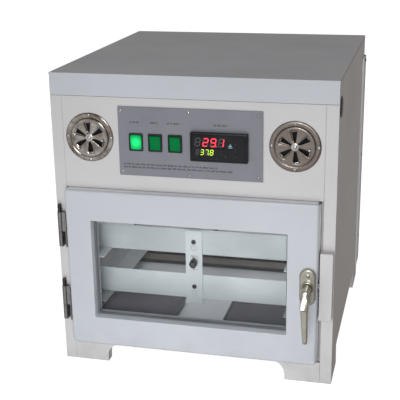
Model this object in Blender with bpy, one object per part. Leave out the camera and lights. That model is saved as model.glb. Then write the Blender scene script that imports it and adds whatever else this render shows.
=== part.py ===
"""Cabinet incubator with a glazed door, a control panel and a tilting egg rack.

Sizes are millimetres in the cabinet's own frame: X to the right seen from the
front, Y towards the back from the front plane of the side panels, Z up from
the floor. world() turns them into metres, with the origin on the floor under
the middle of the overall box.
"""

import math

import bmesh
import bpy
from mathutils import Matrix, Vector

# Driving dimensions, in millimetres.
GAP = 0.3                    # clearance between pieces that touch
WIDTH = 480.0                # over the side panels
DEPTH = 499.0                # front plane to back face
HEIGHT = 522.3
WALL = 20.0                  # insulated panel thickness
BODY_BOTTOM = 38.7           # underside of the cabinet between its feet
COVER_DROP = 37.6            # height of the top cover's front band
SHEET = 2.0                  # folded sheet thickness
HANDLE_REACH = 62.0          # front plane to the front of the handle
INLET_PROUD = 3.0            # power inlet flange behind the back face
PLUG_PROUD = 3.5             # side plugs outside the side panels

DOOR_LEFT = -220.0
DOOR_RIGHT = 214.4
DOOR_TOP = 325.4
DOOR_FRONT = -14.0
DOOR_BACK = 18.0
WINDOW = (-175.0, 163.6, 91.7, 271.2)      # left, right, bottom, top
REBATE = 6.0                               # glass seat outside the window
GLASS_FRONT = 5.0
GLASS = 3.0
PANE_SPACING = 8.0
HINGE_X = -232.5
HINGE_Y = -7.0
HINGE_HEIGHT = 63.0
HINGE_BOTTOMS = {"upper": 219.0, "lower": 81.0}
SPINDLE_X = 198.5
SPINDLE_Z = 183.0
SPINDLE_END = -9.5           # inner end of the handle's spindle
SEAL_DEPTH = 3.7

PANEL_BOTTOM = 326.4         # upper front panel above the door
PLATE = (-121.8, 120.7, 353.2, 470.0)
CONTROLLER = (1.8, 97.2, 384.9, 433.4)
CONTROLLER_PROUD = 10.3
KEY_CENTRES = ((78.0, 418.5), (78.0, 408.7), (78.0, 397.2), (62.5, 396.7))
SWITCH_X = {"left": -91.3, "middle": -58.5, "right": -24.7}
SWITCH_Z = 411.0
SWITCH_SIZE = (24.0, 30.0)
ROCKER_TILT = 6.0
VENT_X = {"left": -173.0, "right": 172.0}
VENT_Z = 415.0
VENT_RADIUS = 41.5
DAMPER_RADIUS = 32.5
DAMPER_REST = 6.0            # degrees past fully open

FLOOR_TOP = 60.0
CHAMBER_HALF = WIDTH / 2 - WALL
MOUTH_BACK = 24.3            # back of the chamber's front frame
BAFFLE_Y = 337.0
RACK_X = -14.7
RACK_Z = 176.0
RACK_LEFT = -203.5
RACK_RIGHT = 187.5
BAR_FRONT = 70.0
BAR_REAR = 318.0
BAR_HEIGHT = 46.0
LOWER_BAR_BOTTOM = 107.0
UPPER_BAR_BOTTOM = 191.8
RAIL_FRONT = 26.0
RAIL_BACK = 326.0
AXLE_RADIUS = 5.0
FAN_X = 0.0
FAN_Z = 330.0
INLET_CENTRE = (120.0, 420.0)

FRONT_Y = -(DEPTH + INLET_PROUD - HANDLE_REACH) / 2
MM = 0.001


def world(x, y, z):
    """Cabinet millimetres to metres about the origin under the middle."""
    return Vector((x * MM, (y + FRONT_Y) * MM, z * MM))


def clear_scene():
    for thing in list(bpy.data.objects):
        bpy.data.objects.remove(thing, do_unlink=True)


def material(name, colour, roughness, metallic=0.0, transmission=0.0):
    found = bpy.data.materials.get(name)
    if found:
        return found
    made = bpy.data.materials.new(name)
    made.use_nodes = True
    shader = made.node_tree.nodes["Principled BSDF"]
    shader.inputs["Base Color"].default_value = (*colour, 1.0)
    shader.inputs["Roughness"].default_value = roughness
    shader.inputs["Metallic"].default_value = metallic
    shader.inputs["Transmission Weight"].default_value = transmission
    made.diffuse_color = (*colour, 1.0)
    return made


def enamel():
    return material("grey_enamel", (0.60, 0.61, 0.63), 0.35)


def liner():
    return material("chamber_liner", (0.42, 0.45, 0.46), 0.4, 0.3)


def zinc_sheet():
    return material("zinc_sheet", (0.55, 0.60, 0.61), 0.35, 0.6)


def chrome():
    return material("bright_metal", (0.62, 0.60, 0.58), 0.18, 1.0)


def dull_steel():
    return material("dull_steel", (0.42, 0.38, 0.35), 0.3, 1.0)


def satin_bronze():
    return material("handle_alloy", (0.40, 0.39, 0.31), 0.3, 1.0)


def black_plastic():
    return material("black_plastic", (0.015, 0.015, 0.018), 0.3)


def plate_paint():
    return material("plate_paint", (0.23, 0.24, 0.27), 0.45)


def green_plastic():
    return material("green_rocker", (0.0, 0.28, 0.08), 0.3)


def dark_window():
    return material("display_window", (0.02, 0.02, 0.025), 0.12)


def clear_glass():
    return material("door_glass", (0.9, 0.95, 0.94), 0.03, 0.0, 1.0)


def seal_rubber():
    return material("seal_rubber", (0.05, 0.05, 0.055), 0.7)


def pan_plastic():
    return material("pan_plastic", (0.08, 0.08, 0.09), 0.45)


def make(name, mesh, finish, smooth=False):
    """Link a mesh as an object with one material."""
    mesh.materials.clear()
    mesh.materials.append(finish)
    if smooth:
        mesh.shade_smooth()
        mesh.set_sharp_from_angle(angle=math.radians(35.0))
    thing = bpy.data.objects.new(name, mesh)
    bpy.context.scene.collection.objects.link(thing)
    return thing


def prism(name, outline, axis, start, end, finish, bevel=0.0, smooth=False):
    """Closed outline carried along an axis from start to end.

    The outline's points are (x, z) for axis Y, (y, z) for X and (x, y) for Z.
    """
    places = {
        "x": lambda a, b, c: (c, a, b),
        "y": lambda a, b, c: (a, c, b),
        "z": lambda a, b, c: (a, b, c),
    }
    bm = bmesh.new()
    low = [bm.verts.new(world(*places[axis](a, b, start))) for a, b in outline]
    high = [bm.verts.new(world(*places[axis](a, b, end))) for a, b in outline]
    bm.faces.new(low)
    bm.faces.new(high)
    for here in range(len(outline)):
        there = (here + 1) % len(outline)
        bm.faces.new((low[here], low[there], high[there], high[here]))
    if bevel:
        bmesh.ops.recalc_face_normals(bm, faces=bm.faces)
        corners = [edge for edge in bm.edges if edge.calc_face_angle() > math.radians(35.0)]
        bmesh.ops.bevel(
            bm, geom=corners, offset=bevel * MM, segments=2, profile=0.5, affect="EDGES", clamp_overlap=True,
        )
    return finished(name, bm, finish, smooth)


def finished(name, bm, finish, smooth):
    bmesh.ops.recalc_face_normals(bm, faces=bm.faces)
    mesh = bpy.data.meshes.new(name)
    bm.to_mesh(mesh)
    bm.free()
    return make(name, mesh, finish, smooth)


def box(name, low, high, finish, bevel=0.0):
    """Box between two corners, its edges rounded by bevel."""
    outline = ((low[0], low[1]), (high[0], low[1]), (high[0], high[1]), (low[0], high[1]))
    return prism(name, outline, "z", low[2], high[2], finish, bevel)


def turned(name, profile, axis, centre, finish, sides=24, smooth=True):
    """Solid of revolution: profile is (radius, distance along the axis) pairs.

    The first and last points lie on the axis or close onto each other.
    """
    aims = {"x": Matrix.Rotation(math.pi / 2, 4, "Y"), "y": Matrix.Rotation(-math.pi / 2, 4, "X")}
    aim = aims.get(axis, Matrix.Identity(4))
    bm = bmesh.new()
    rings = []
    for radius, along in profile:
        if radius == 0.0:
            rings.append([bm.verts.new((0.0, 0.0, along * MM))])
            continue
        turn = [2 * math.pi * side / sides for side in range(sides)]
        rings.append([
            bm.verts.new((radius * MM * math.cos(t), radius * MM * math.sin(t), along * MM))
            for t in turn
        ])
    closed = profile[0][0] > 0.0
    pairs = list(zip(rings, rings[1:] + rings[:1])) if closed else list(zip(rings, rings[1:]))
    for near, far in pairs:
        for side in range(sides):
            after = (side + 1) % sides
            corners = [near[side % len(near)], near[after % len(near)],
                       far[after % len(far)], far[side % len(far)]]
            bm.faces.new(list(dict.fromkeys(corners)))
    bmesh.ops.transform(bm, matrix=Matrix.Translation(world(*centre)) @ aim, verts=bm.verts)
    return finished(name, bm, finish, smooth)


def rounded(left, right, bottom, top, radius, steps=4):
    """Outline of a rectangle with round corners."""
    corners = ((right - radius, bottom + radius, -90.0), (right - radius, top - radius, 0.0),
               (left + radius, top - radius, 90.0), (left + radius, bottom + radius, 180.0))
    points = []
    for x, z, start in corners:
        for step in range(steps + 1):
            angle = math.radians(start + 90.0 * step / steps)
            points.append((x + radius * math.cos(angle), z + radius * math.sin(angle)))
    return points


def wedge(centre, angle, inner, outer, inner_half, outer_half):
    """Outline of a radial slot that widens outwards."""
    along = Vector((math.cos(angle), math.sin(angle)))
    across = Vector((-along.y, along.x))
    middle = Vector(centre)
    points = (
        middle + along * inner - across * inner_half, middle + along * outer - across * outer_half,
        middle + along * outer + across * outer_half, middle + along * inner + across * inner_half,
    )
    return [tuple(point) for point in points]


def combine(thing, tools, operation):
    """Cut the tools from a thing, or join them to it, and take them away."""
    for tool in tools:
        step = thing.modifiers.new("combine", "BOOLEAN")
        step.operation = operation
        step.solver = "EXACT"
        step.object = tool
    bpy.context.view_layer.update()
    graph = bpy.context.evaluated_depsgraph_get()
    mesh = bpy.data.meshes.new_from_object(thing.evaluated_get(graph))
    thing.modifiers.clear()
    thing.data = mesh
    for tool in tools:
        bpy.data.objects.remove(tool, do_unlink=True)
    return thing


def cut(thing, *tools):
    return combine(thing, tools, "DIFFERENCE")


def join(thing, *tools):
    return combine(thing, tools, "UNION")


def pivot(thing, x, y, z):
    """Put the origin of a moving piece on its joint."""
    place = world(x, y, z)
    thing.data.transform(Matrix.Translation(-place))
    thing.location = place
    return thing


# Cabinet shell


def side_panels():
    """Insulated sides with a foot at each end and a lowered front-top corner."""
    foot = 80.0
    arch = BODY_BOTTOM
    cover_bottom = HEIGHT - COVER_DROP
    outline = (
        (0.0, 0.0), (foot, 0.0), (foot - 6.0, arch), (DEPTH - foot + 6.0, arch),
        (DEPTH - foot, 0.0), (DEPTH, 0.0), (DEPTH, HEIGHT - SHEET - GAP),
        (SHEET + GAP, HEIGHT - SHEET - GAP), (SHEET + GAP, cover_bottom - GAP),
        (0.0, cover_bottom - GAP),
    )
    half = WIDTH / 2
    for side, inner, outer in (("left", -CHAMBER_HALF, -half), ("right", CHAMBER_HALF, half)):
        prism(f"{side}_side_panel", outline, "x", inner, outer, enamel(), bevel=0.5)


def arch_outline(half_opening, radius):
    """Base board outline with coved feet either side of an arch."""
    edge = CHAMBER_HALF - GAP
    arch_top = BODY_BOTTOM - 4.0
    points = [(-edge, 0.0), (-half_opening, 0.0)]
    for step in range(6):
        turn = math.radians(90.0 * step / 5)
        x = -half_opening + radius * (1 - math.cos(turn))
        points.append((x, arch_top - radius * (1 - math.sin(turn))))
    points += [(-x, z) for x, z in reversed(points)]
    points += [(edge, BODY_BOTTOM - GAP), (-edge, BODY_BOTTOM - GAP)]
    return points


def base_board():
    prism("front_base_board", arch_outline(159.5, 24.0), "y", 0.0, 18.0, enamel())


def top_cover():
    """Insulated lid: a folded sheet, and a slab under it between the sides."""
    half = WIDTH / 2
    under = HEIGHT - COVER_DROP
    fold = ((0.0, under), (SHEET, under), (SHEET, HEIGHT - SHEET), (DEPTH, HEIGHT - SHEET), (DEPTH, HEIGHT), (0.0, HEIGHT))
    lid = prism("top_cover", fold, "x", -half, half, enamel(), bevel=0.5)
    slab = box("slab", (-CHAMBER_HALF + GAP, 1.0, under + 0.8),
               (CHAMBER_HALF - GAP, DEPTH - WALL - GAP, HEIGHT - 1.0), enamel())
    join(lid, slab)


def floor_and_back():
    box("floor_panel", (-CHAMBER_HALF + GAP, MOUTH_BACK + GAP, BODY_BOTTOM),
        (CHAMBER_HALF - GAP, DEPTH - WALL - GAP, FLOOR_TOP), liner())
    back = box("back_panel", (-CHAMBER_HALF + GAP, DEPTH - WALL, BODY_BOTTOM),
               (CHAMBER_HALF - GAP, DEPTH, HEIGHT - SHEET - GAP), enamel(), bevel=0.5)
    x, z = INLET_CENTRE
    hole = box("hole", (x - 15.0, DEPTH - WALL - 1.0, z - 11.0), (x + 15.0, DEPTH + 1.0, z + 11.0), enamel())
    cut(back, hole)


def upper_front_panel():
    """Panel above the door, open behind the control plate and the vents."""
    panel = box("upper_front_panel", (-CHAMBER_HALF + GAP, 0.0, PANEL_BOTTOM),
                (CHAMBER_HALF - GAP, WALL, HEIGHT - COVER_DROP - GAP), enamel(), bevel=0.5)
    left, right, bottom, top = PLATE
    window = box("window", (left + 12.0, -1.0, bottom + 12.0), (right - 12.0, WALL + 1.0, top - 12.0), enamel())
    ports = [
        turned("port", ((0.0, -1.0), (30.0, -1.0), (30.0, WALL + 1.0), (0.0, WALL + 1.0)), "y",
               (x, 0.0, VENT_Z), enamel())
        for x in VENT_X.values()
    ]
    cut(panel, window, *ports)


def chamber_front_frame():
    """Flat sheet frame that the door's seal closes against."""
    front = DOOR_BACK + SEAL_DEPTH + 2 * GAP
    frame = box("chamber_front_frame", (-CHAMBER_HALF + GAP, front, BODY_BOTTOM),
                (CHAMBER_HALF - GAP, MOUTH_BACK, PANEL_BOTTOM + WALL), liner())
    left, right, bottom, top = WINDOW
    mouth = box("mouth", (left - 7.0, front - 1.0, bottom - 7.0), (right + 7.0, MOUTH_BACK + 1.0, top + 7.0), liner())
    cut(frame, mouth)


def rear_baffle():
    """Wall in front of the fan, with the rack's rear bearing welded to it."""
    baffle = box("rear_baffle", (-CHAMBER_HALF + GAP, BAFFLE_Y, FLOOR_TOP + 18.0),
                 (CHAMBER_HALF - GAP, BAFFLE_Y + SHEET, HEIGHT - COVER_DROP - GAP), liner())
    boss = turned("boss", ((0.0, -8.0), (16.0, -8.0), (16.0, 1.0), (0.0, 1.0)), "y",
                  (RACK_X, BAFFLE_Y, RACK_Z), liner())
    bore = turned("bore", ((0.0, -10.0), (AXLE_RADIUS + 0.5, -10.0), (AXLE_RADIUS + 0.5, 5.0), (0.0, 5.0)), "y",
                  (RACK_X, BAFFLE_Y, RACK_Z), liner())
    outlet = turned("outlet", ((0.0, -5.0), (42.0, -5.0), (42.0, 5.0), (0.0, 5.0)), "y",
                    (FAN_X, BAFFLE_Y, FAN_Z), liner())
    cut(join(baffle, boss), bore, outlet)


def side_plugs():
    """Domed black plastic discs near the front-top corner of each side."""
    dome = ((0.0, 0.0), (17.5, 0.0), (17.5, 1.4), (16.0, 2.6), (11.0, 3.3), (0.0, PLUG_PROUD))
    for side, sign in (("left", -1.0), ("right", 1.0)):
        profile = [(radius, sign * (along + (0.0 if along else GAP))) for radius, along in dome]
        turned(f"{side}_side_plug", profile, "x", (sign * WIDTH / 2, 27.0, 476.2), black_plastic())


# Control panel


def control_plate():
    left, right, bottom, top = PLATE
    plate = box("control_plate", (left, -SHEET - GAP, bottom), (right, -GAP, top), plate_paint(), bevel=0.4)
    holes = [box("hole", (CONTROLLER[0] + 2.0, -5.0, CONTROLLER[2] + 2.0),
                 (CONTROLLER[1] - 2.0, 5.0, CONTROLLER[3] - 2.0), plate_paint())]
    wide, tall = SWITCH_SIZE
    for x in SWITCH_X.values():
        holes.append(box("hole", (x - wide / 2 + 1.0, -5.0, SWITCH_Z - tall / 2 + 1.0),
                         (x + wide / 2 - 1.0, 5.0, SWITCH_Z + tall / 2 - 1.0), plate_paint()))
    cut(plate, *holes)


def control_box():
    """Sheet tray behind the plate that keeps the wiring out of the chamber."""
    left, right, bottom, top = PLATE
    low = (left + 4.0, WALL + GAP, bottom + 4.0)
    high = (right - 4.0, 100.0, top - 4.0)
    tray = box("control_box", low, high, zinc_sheet())
    inside = box("inside", (low[0] + SHEET, low[1] - 1.0, low[2] + SHEET),
                 (high[0] - SHEET, high[1] - SHEET, high[2] - SHEET), zinc_sheet())
    cut(tray, inside)


def key_tools(start, end):
    profile = ((0.0, start), (2.8, start), (2.8, end), (0.0, end))
    return [turned("tool", profile, "y", (x, 0.0, z), black_plastic(), sides=16) for x, z in KEY_CENTRES]


def controller():
    """Panel instrument: bezel, body behind the plate, window and four keys."""
    left, right, bottom, top = CONTROLLER
    back_of_bezel = -SHEET - 2 * GAP
    case = prism("controller_case", rounded(left, right, bottom, top, 1.5, 2), "y",
                 -CONTROLLER_PROUD, back_of_bezel, black_plastic())
    body = box("body", (left + 2.6, back_of_bezel - 1.0, bottom + 2.6), (right - 2.6, 75.0, top - 2.6), black_plastic())
    recess = box("recess", (left + 3.0, -CONTROLLER_PROUD - 1.0, bottom + 3.0),
                 (right - 11.0, -CONTROLLER_PROUD + 1.0, top - 3.0), black_plastic())
    cut(join(case, body), recess, *key_tools(-20.0, -7.2))
    window = box("controller_window", (left + 3.0 + GAP, -CONTROLLER_PROUD + 0.1, bottom + 3.0 + GAP),
                 (right - 11.0 - GAP, -CONTROLLER_PROUD + 1.0 - GAP, top - 3.0 - GAP), dark_window())
    cut(window, *key_tools(-20.0, 0.0))
    for number, (x, z) in enumerate(KEY_CENTRES, start=1):
        key = turned(f"controller_key_{number}",
                     ((0.0, -11.3), (1.8, -11.2), (2.4, -10.8), (2.4, -8.4), (0.0, -8.4)), "y",
                     (x, 0.0, z), black_plastic(), sides=16)
        pivot(key, x, -11.3, z)


def switches():
    """Three rocker switches: a housing with a flange, and a tilted rocker."""
    wide, tall = SWITCH_SIZE
    pivot_y = 1.0
    for side, x in SWITCH_X.items():
        bezel = prism(f"switch_bezel_{side}", rounded(x - wide / 2, x + wide / 2, SWITCH_Z - tall / 2,
                      SWITCH_Z + tall / 2, 2.0, 2), "y", -4.6, -SHEET - 2 * GAP, black_plastic())
        body = box("body", (x - wide / 2 + 1.4, -3.6, SWITCH_Z - tall / 2 + 1.4),
                   (x + wide / 2 - 1.4, 24.0, SWITCH_Z + tall / 2 - 1.4), black_plastic())
        pocket = box("pocket", (x - 9.4, -6.0, SWITCH_Z - 13.0), (x + 9.4, 13.0, SWITCH_Z + 13.0), black_plastic())
        cut(join(bezel, body), pocket)
        tilt = math.radians(ROCKER_TILT)
        shape = [(-6.4, -12.0), (-5.7, 0.0), (-6.4, 12.0), (-1.5, 12.0), (5.5, 6.0), (7.5, 0.0), (5.5, -6.0), (-1.5, -12.0)]
        turned_shape = [
            (pivot_y + y * math.cos(tilt) - z * math.sin(tilt), SWITCH_Z + y * math.sin(tilt) + z * math.cos(tilt))
            for y, z in shape
        ]
        rocker = prism(f"switch_rocker_{side}", turned_shape, "x", x - 9.0, x + 9.0, green_plastic(), bevel=0.35)
        pivot(rocker, x, pivot_y, SWITCH_Z)


def slot_tools(x, turn, inner, outer):
    """Six radial slot cutters around a vent's centre."""
    tools = []
    for number in range(6):
        angle = math.radians(30.0 + 60.0 * number + turn)
        outline = wedge((x, VENT_Z), angle, inner, outer, 2.0, 5.6)
        tools.append(prism("slot", outline, "y", -9.0, 6.0, chrome()))
    return tools


def vents():
    """Two air vents: a screwed base plate with slots, and a turning damper."""
    for side, x in VENT_X.items():
        finish = chrome() if side == "left" else dull_steel()
        centre = (x, 0.0, VENT_Z)
        plate = turned(f"vent_plate_{side}", ((0.0, -1.5), (VENT_RADIUS - 0.7, -1.5), (VENT_RADIUS, -0.9),
                       (VENT_RADIUS, -GAP), (0.0, -GAP)), "y", centre, finish, sides=40)
        rivet = turned("rivet", ((0.0, -4.9), (2.2, -4.6), (3.8, -3.6), (3.8, -3.1), (2.2, -3.1), (2.2, -1.0), (0.0, -1.0)),
                       "y", centre, finish, sides=16)
        join(cut(plate, *slot_tools(x, 0.0, 9.0, 28.5)), rivet)
        damper = turned(f"vent_damper_{side}", ((0.0, -2.8), (DAMPER_RADIUS - 0.5, -2.8), (DAMPER_RADIUS, -2.3),
                        (DAMPER_RADIUS, -1.8), (0.0, -1.8)), "y", centre, finish, sides=40)
        bore = turned("bore", ((0.0, -4.0), (2.8, -4.0), (2.8, 0.0), (0.0, 0.0)), "y", centre, finish, sides=16)
        angle = math.radians(-10.0)
        knob = turned("knob", ((0.0, -7.0), (1.6, -6.6), (2.2, -5.6), (2.2, -2.3), (0.0, -2.3)), "y",
                      (x + 23.5 * math.cos(angle), 0.0, VENT_Z + 23.5 * math.sin(angle)), finish, sides=12)
        join(cut(damper, bore, *slot_tools(x, DAMPER_REST, 8.0, 29.0)), knob)
        pivot(damper, *centre)


# Door


def door():
    left, right, bottom, top = WINDOW
    frame = box("door_frame", (DOOR_LEFT, DOOR_FRONT, BODY_BOTTOM), (DOOR_RIGHT, DOOR_BACK, DOOR_TOP), enamel(), bevel=0.8)
    opening = box("opening", (left, DOOR_FRONT - 1.0, bottom), (right, DOOR_BACK + 1.0, top), enamel())
    seat = box("seat", (left - REBATE, GLASS_FRONT - GAP, bottom - REBATE),
               (right + REBATE, DOOR_BACK + 1.0, top + REBATE), enamel())
    tongue_slot = box("slot", (SPINDLE_X - 9.0, -9.6, SPINDLE_Z - 19.0), (DOOR_RIGHT + 1.0, -2.4, SPINDLE_Z + 9.0), enamel())
    spindle_bore = turned("bore", ((0.0, -20.0), (5.6, -20.0), (5.6, -5.0), (0.0, -5.0)), "y",
                          (SPINDLE_X, 0.0, SPINDLE_Z), enamel(), sides=16)
    cut(frame, opening, seat, tongue_slot, spindle_bore)
    pivot(frame, HINGE_X, HINGE_Y, 0.0)
    for name, front in (("outer", GLASS_FRONT), ("inner", GLASS_FRONT + PANE_SPACING)):
        edge = REBATE - GAP
        pane = box(f"door_glass_{name}", (left - edge, front, bottom - edge),
                   (right + edge, front + GLASS, top + edge), clear_glass())
        pivot(pane, HINGE_X, HINGE_Y, 0.0)


def door_seal():
    """Rubber ring on the back of the door, outside the glass."""
    left, right, bottom, top = WINDOW
    front = DOOR_BACK + GAP
    seal = prism("door_seal", rounded(left - 24.0, right + 24.0, bottom - 24.0, top + 24.0, 8.0, 3), "y",
                 front, front + SEAL_DEPTH, seal_rubber())
    hole = prism("hole", rounded(left - 13.0, right + 13.0, bottom - 13.0, top + 13.0, 3.0, 2), "y",
                 front - 1.0, front + SEAL_DEPTH + 1.0, seal_rubber())
    cut(seal, hole)
    pivot(seal, HINGE_X, HINGE_Y, 0.0)


def knuckle(name, bottom, top, bore, finish):
    outer = 4.5
    profile = ((bore, bottom), (outer, bottom), (outer, top), (bore, top))
    if not bore:
        profile = ((0.0, bottom), (outer, bottom), (outer, top), (0.0, top))
    return turned(name, profile, "z", (HINGE_X, HINGE_Y, 0.0), finish, sides=20)


def hinges():
    """Loose-pin hinges: leaf on the side panel's edge, leaf on the door's edge."""
    finish = dull_steel()
    for side, bottom in HINGE_BOTTOMS.items():
        middle = bottom + 27.0
        top = bottom + HINGE_HEIGHT
        fixed = box(f"hinge_{side}_cabinet_half", (-239.0, -2.2, bottom), (-226.0, -GAP, top), finish)
        lower = knuckle("lower", bottom, middle, 0.0, finish)
        web = box("web", (-236.5, -7.0, bottom), (-230.0, -1.5, middle), finish)
        pin = turned("pin", ((0.0, middle - 1.0), (2.0, middle - 1.0), (2.0, top + 0.8), (3.0, top + 0.8),
                     (3.3, top + 4.0), (3.3, top + 11.0), (2.4, top + 14.0), (0.0, top + 15.0)), "z",
                     (HINGE_X, HINGE_Y, 0.0), finish, sides=16)
        join(fixed, lower, web, pin)
        moving = knuckle(f"hinge_{side}_door_half", middle + GAP, top, 2.5, finish)
        bridge = box("bridge", (HINGE_X + 3.4, -9.0, middle + GAP), (DOOR_LEFT - 1.5, -5.0, top), finish)
        leaf = box("leaf", (DOOR_LEFT - 2.3, -13.0, bottom), (DOOR_LEFT - GAP, -2.5, top), finish)
        join(moving, bridge, leaf)
        pivot(moving, HINGE_X, HINGE_Y, 0.0)


def handle():
    """Oval rosette on the door, and a lever with its spindle and neck."""
    rosette = prism("handle_rosette", rounded(SPINDLE_X - 13.7, SPINDLE_X + 13.7, 150.8, 215.6, 13.6, 6), "y",
                    -20.4, DOOR_FRONT - GAP, satin_bronze(), bevel=1.0)
    bore = turned("bore", ((0.0, -25.0), (8.4, -25.0), (8.4, 0.0), (0.0, 0.0)), "y",
                  (SPINDLE_X, 0.0, SPINDLE_Z), satin_bronze(), sides=24)
    cut(rosette, bore)
    pivot(rosette, HINGE_X, HINGE_Y, 0.0)
    neck = ((0.0, -54.0), (6.5, -54.0), (6.5, -26.0), (8.0, -21.5), (8.0, -15.0), (5.0, -15.0), (5.0, SPINDLE_END), (0.0, SPINDLE_END))
    lever = turned("handle_lever", neck, "y", (SPINDLE_X, 0.0, SPINDLE_Z), satin_bronze(), sides=20)
    grip = grip_solid()
    join(lever, grip)
    pivot(lever, SPINDLE_X, SPINDLE_END, SPINDLE_Z)


def grip_solid():
    """Tapered bar: rounded rectangles that narrow from the elbow to the tip."""
    stations = (
        # height, middle x, half width, front, back
        (191.5, SPINDLE_X, 3.5, -59.0, -50.0), (189.5, SPINDLE_X, 5.4, -61.0, -49.0),
        (182.0, SPINDLE_X, 6.2, -HANDLE_REACH, -48.5), (166.0, SPINDLE_X, 6.2, -HANDLE_REACH, -49.5),
        (156.0, SPINDLE_X + 0.4, 5.8, -61.4, -51.0), (128.0, SPINDLE_X + 1.5, 5.0, -60.8, -51.8),
        (104.0, SPINDLE_X + 2.4, 3.9, -60.2, -52.6), (100.0, SPINDLE_X + 2.5, 2.8, -59.4, -53.6),
    )
    bm = bmesh.new()
    rings = []
    for z, x, half, front, back in stations:
        outline = rounded(x - half, x + half, front, back, min(half, (back - front) / 2) * 0.75, 3)
        rings.append([bm.verts.new(world(a, b, z)) for a, b in outline])
    for near, far in zip(rings, rings[1:]):
        for here in range(len(near)):
            there = (here + 1) % len(near)
            bm.faces.new((near[here], near[there], far[there], far[here]))
    bm.faces.new(rings[0])
    bm.faces.new(rings[-1])
    return finished("grip", bm, satin_bronze(), smooth=True)


def latch():
    """Tongue on the spindle inside the door, and the striker block beside it."""
    outline = [(SPINDLE_X + 7.6 * math.cos(math.radians(a)), SPINDLE_Z + 7.6 * math.sin(math.radians(a)))
               for a in range(40, 321, 20)]
    outline += [(216.2, SPINDLE_Z - 3.8), (216.2, SPINDLE_Z + 3.8)]
    tongue = prism("latch_tongue", outline, "y", SPINDLE_END + GAP, -2.8, chrome())
    pivot(tongue, SPINDLE_X, SPINDLE_END, SPINDLE_Z)
    box("striker_block", (217.2, DOOR_FRONT, 123.3), (238.6, -GAP, 241.8), enamel(), bevel=1.0)


# Rack and chamber


def rack_bar(name, y, bottom):
    return box(name, (RACK_LEFT, y, bottom), (RACK_RIGHT, y + SHEET, bottom + BAR_HEIGHT), zinc_sheet(), bevel=0.3)


def rack_pivot(thing):
    return pivot(thing, RACK_X, BAFFLE_Y, RACK_Z)


def axle_bore(start, end):
    return turned("bore", ((0.0, start), (AXLE_RADIUS + GAP, start), (AXLE_RADIUS + GAP, end), (0.0, end)), "y",
                  (RACK_X, 0.0, RACK_Z), zinc_sheet(), sides=16)


def rack():
    """Two tiers of bars and angle rails that tilt together on one axle."""
    rack_pivot(rack_bar("rack_upper_front_bar", BAR_FRONT, UPPER_BAR_BOTTOM))
    rack_pivot(rack_bar("rack_lower_front_bar", BAR_FRONT, LOWER_BAR_BOTTOM))
    plate = box("rack_front_plate", (RACK_X - 15.2, BAR_FRONT - GAP - SHEET, 96.3),
                (RACK_X + 15.2, BAR_FRONT - GAP, 236.0), zinc_sheet(), bevel=0.3)
    rack_pivot(cut(plate, axle_bore(BAR_FRONT - 6.0, BAR_FRONT + 4.0)))
    rear = rack_bar("rack_rear_frame", BAR_REAR, UPPER_BAR_BOTTOM)
    lower = rack_bar("lower", BAR_REAR, LOWER_BAR_BOTTOM)
    upright = box("upright", (RACK_X - 15.2, BAR_REAR, LOWER_BAR_BOTTOM + 10.0),
                  (RACK_X + 15.2, BAR_REAR + SHEET, UPPER_BAR_BOTTOM + 10.0), zinc_sheet())
    rack_pivot(cut(join(rear, lower, upright), axle_bore(BAR_REAR - 5.0, BAR_REAR + 5.0)))
    for tier, bottom in (("upper", UPPER_BAR_BOTTOM), ("lower", LOWER_BAR_BOTTOM)):
        for side, outer, sign in (("left", RACK_LEFT, 1.0), ("right", RACK_RIGHT, -1.0)):
            low = bottom - GAP - SHEET
            angle = [
                (outer - sign * (SHEET + GAP), low), (outer + sign * 35.0, low), (outer + sign * 35.0, low + SHEET),
                (outer - sign * GAP, low + SHEET), (outer - sign * GAP, low + 24.0),
                (outer - sign * (SHEET + GAP), low + 24.0),
            ]
            rack_pivot(prism(f"rack_rail_{tier}_{side}", angle, "y", RAIL_FRONT, RAIL_BACK, zinc_sheet()))
    nut = 9.0
    hexagon = [(nut, BAR_FRONT - 12.0), (nut, BAR_FRONT - SHEET - 2 * GAP)]
    profile = ((0.0, BAR_FRONT - 14.0), (AXLE_RADIUS, BAR_FRONT - 13.5), (AXLE_RADIUS, BAR_FRONT - 12.0), *hexagon,
               (AXLE_RADIUS, BAR_FRONT - SHEET - 2 * GAP), (AXLE_RADIUS, BAFFLE_Y + 16.0), (0.0, BAFFLE_Y + 16.0))
    rack_pivot(turned("rack_axle", profile, "y", (RACK_X, 0.0, RACK_Z), zinc_sheet(), sides=18))


def rack_hanger():
    """Strap under the control box that carries the front of the axle."""
    top = PLATE[2] + 4.0 - GAP
    strap = box("rack_hanger", (RACK_X - 12.0, 80.0, RACK_Z - 14.0), (RACK_X + 12.0, 83.0, top), zinc_sheet())
    foot = box("foot", (RACK_X - 12.0, 80.0, top - 3.0), (RACK_X + 12.0, 98.0, top), zinc_sheet())
    bore = turned("bore", ((0.0, 70.0), (AXLE_RADIUS + 0.5, 70.0), (AXLE_RADIUS + 0.5, 90.0), (0.0, 90.0)), "y",
                  (RACK_X, 0.0, RACK_Z), zinc_sheet(), sides=16)
    cut(join(strap, foot), bore)


def water_pans():
    """Two shallow black water pans on the chamber floor."""
    front, back, tall, wall = 38.0, 142.0, 16.0, 2.0
    floor = FLOOR_TOP + GAP
    for side, left, right in (("left", -190.0, -49.0), ("right", 39.0, 180.0)):
        pan = prism(f"water_pan_{side}", rounded(left, right, front, back, 6.0, 3), "z", floor, floor + tall, pan_plastic())
        inside = prism("inside", rounded(left + wall, right - wall, front + wall, back - wall, 4.5, 3), "z",
                       floor + wall, floor + tall + 1.0, pan_plastic())
        cut(pan, inside)


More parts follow.
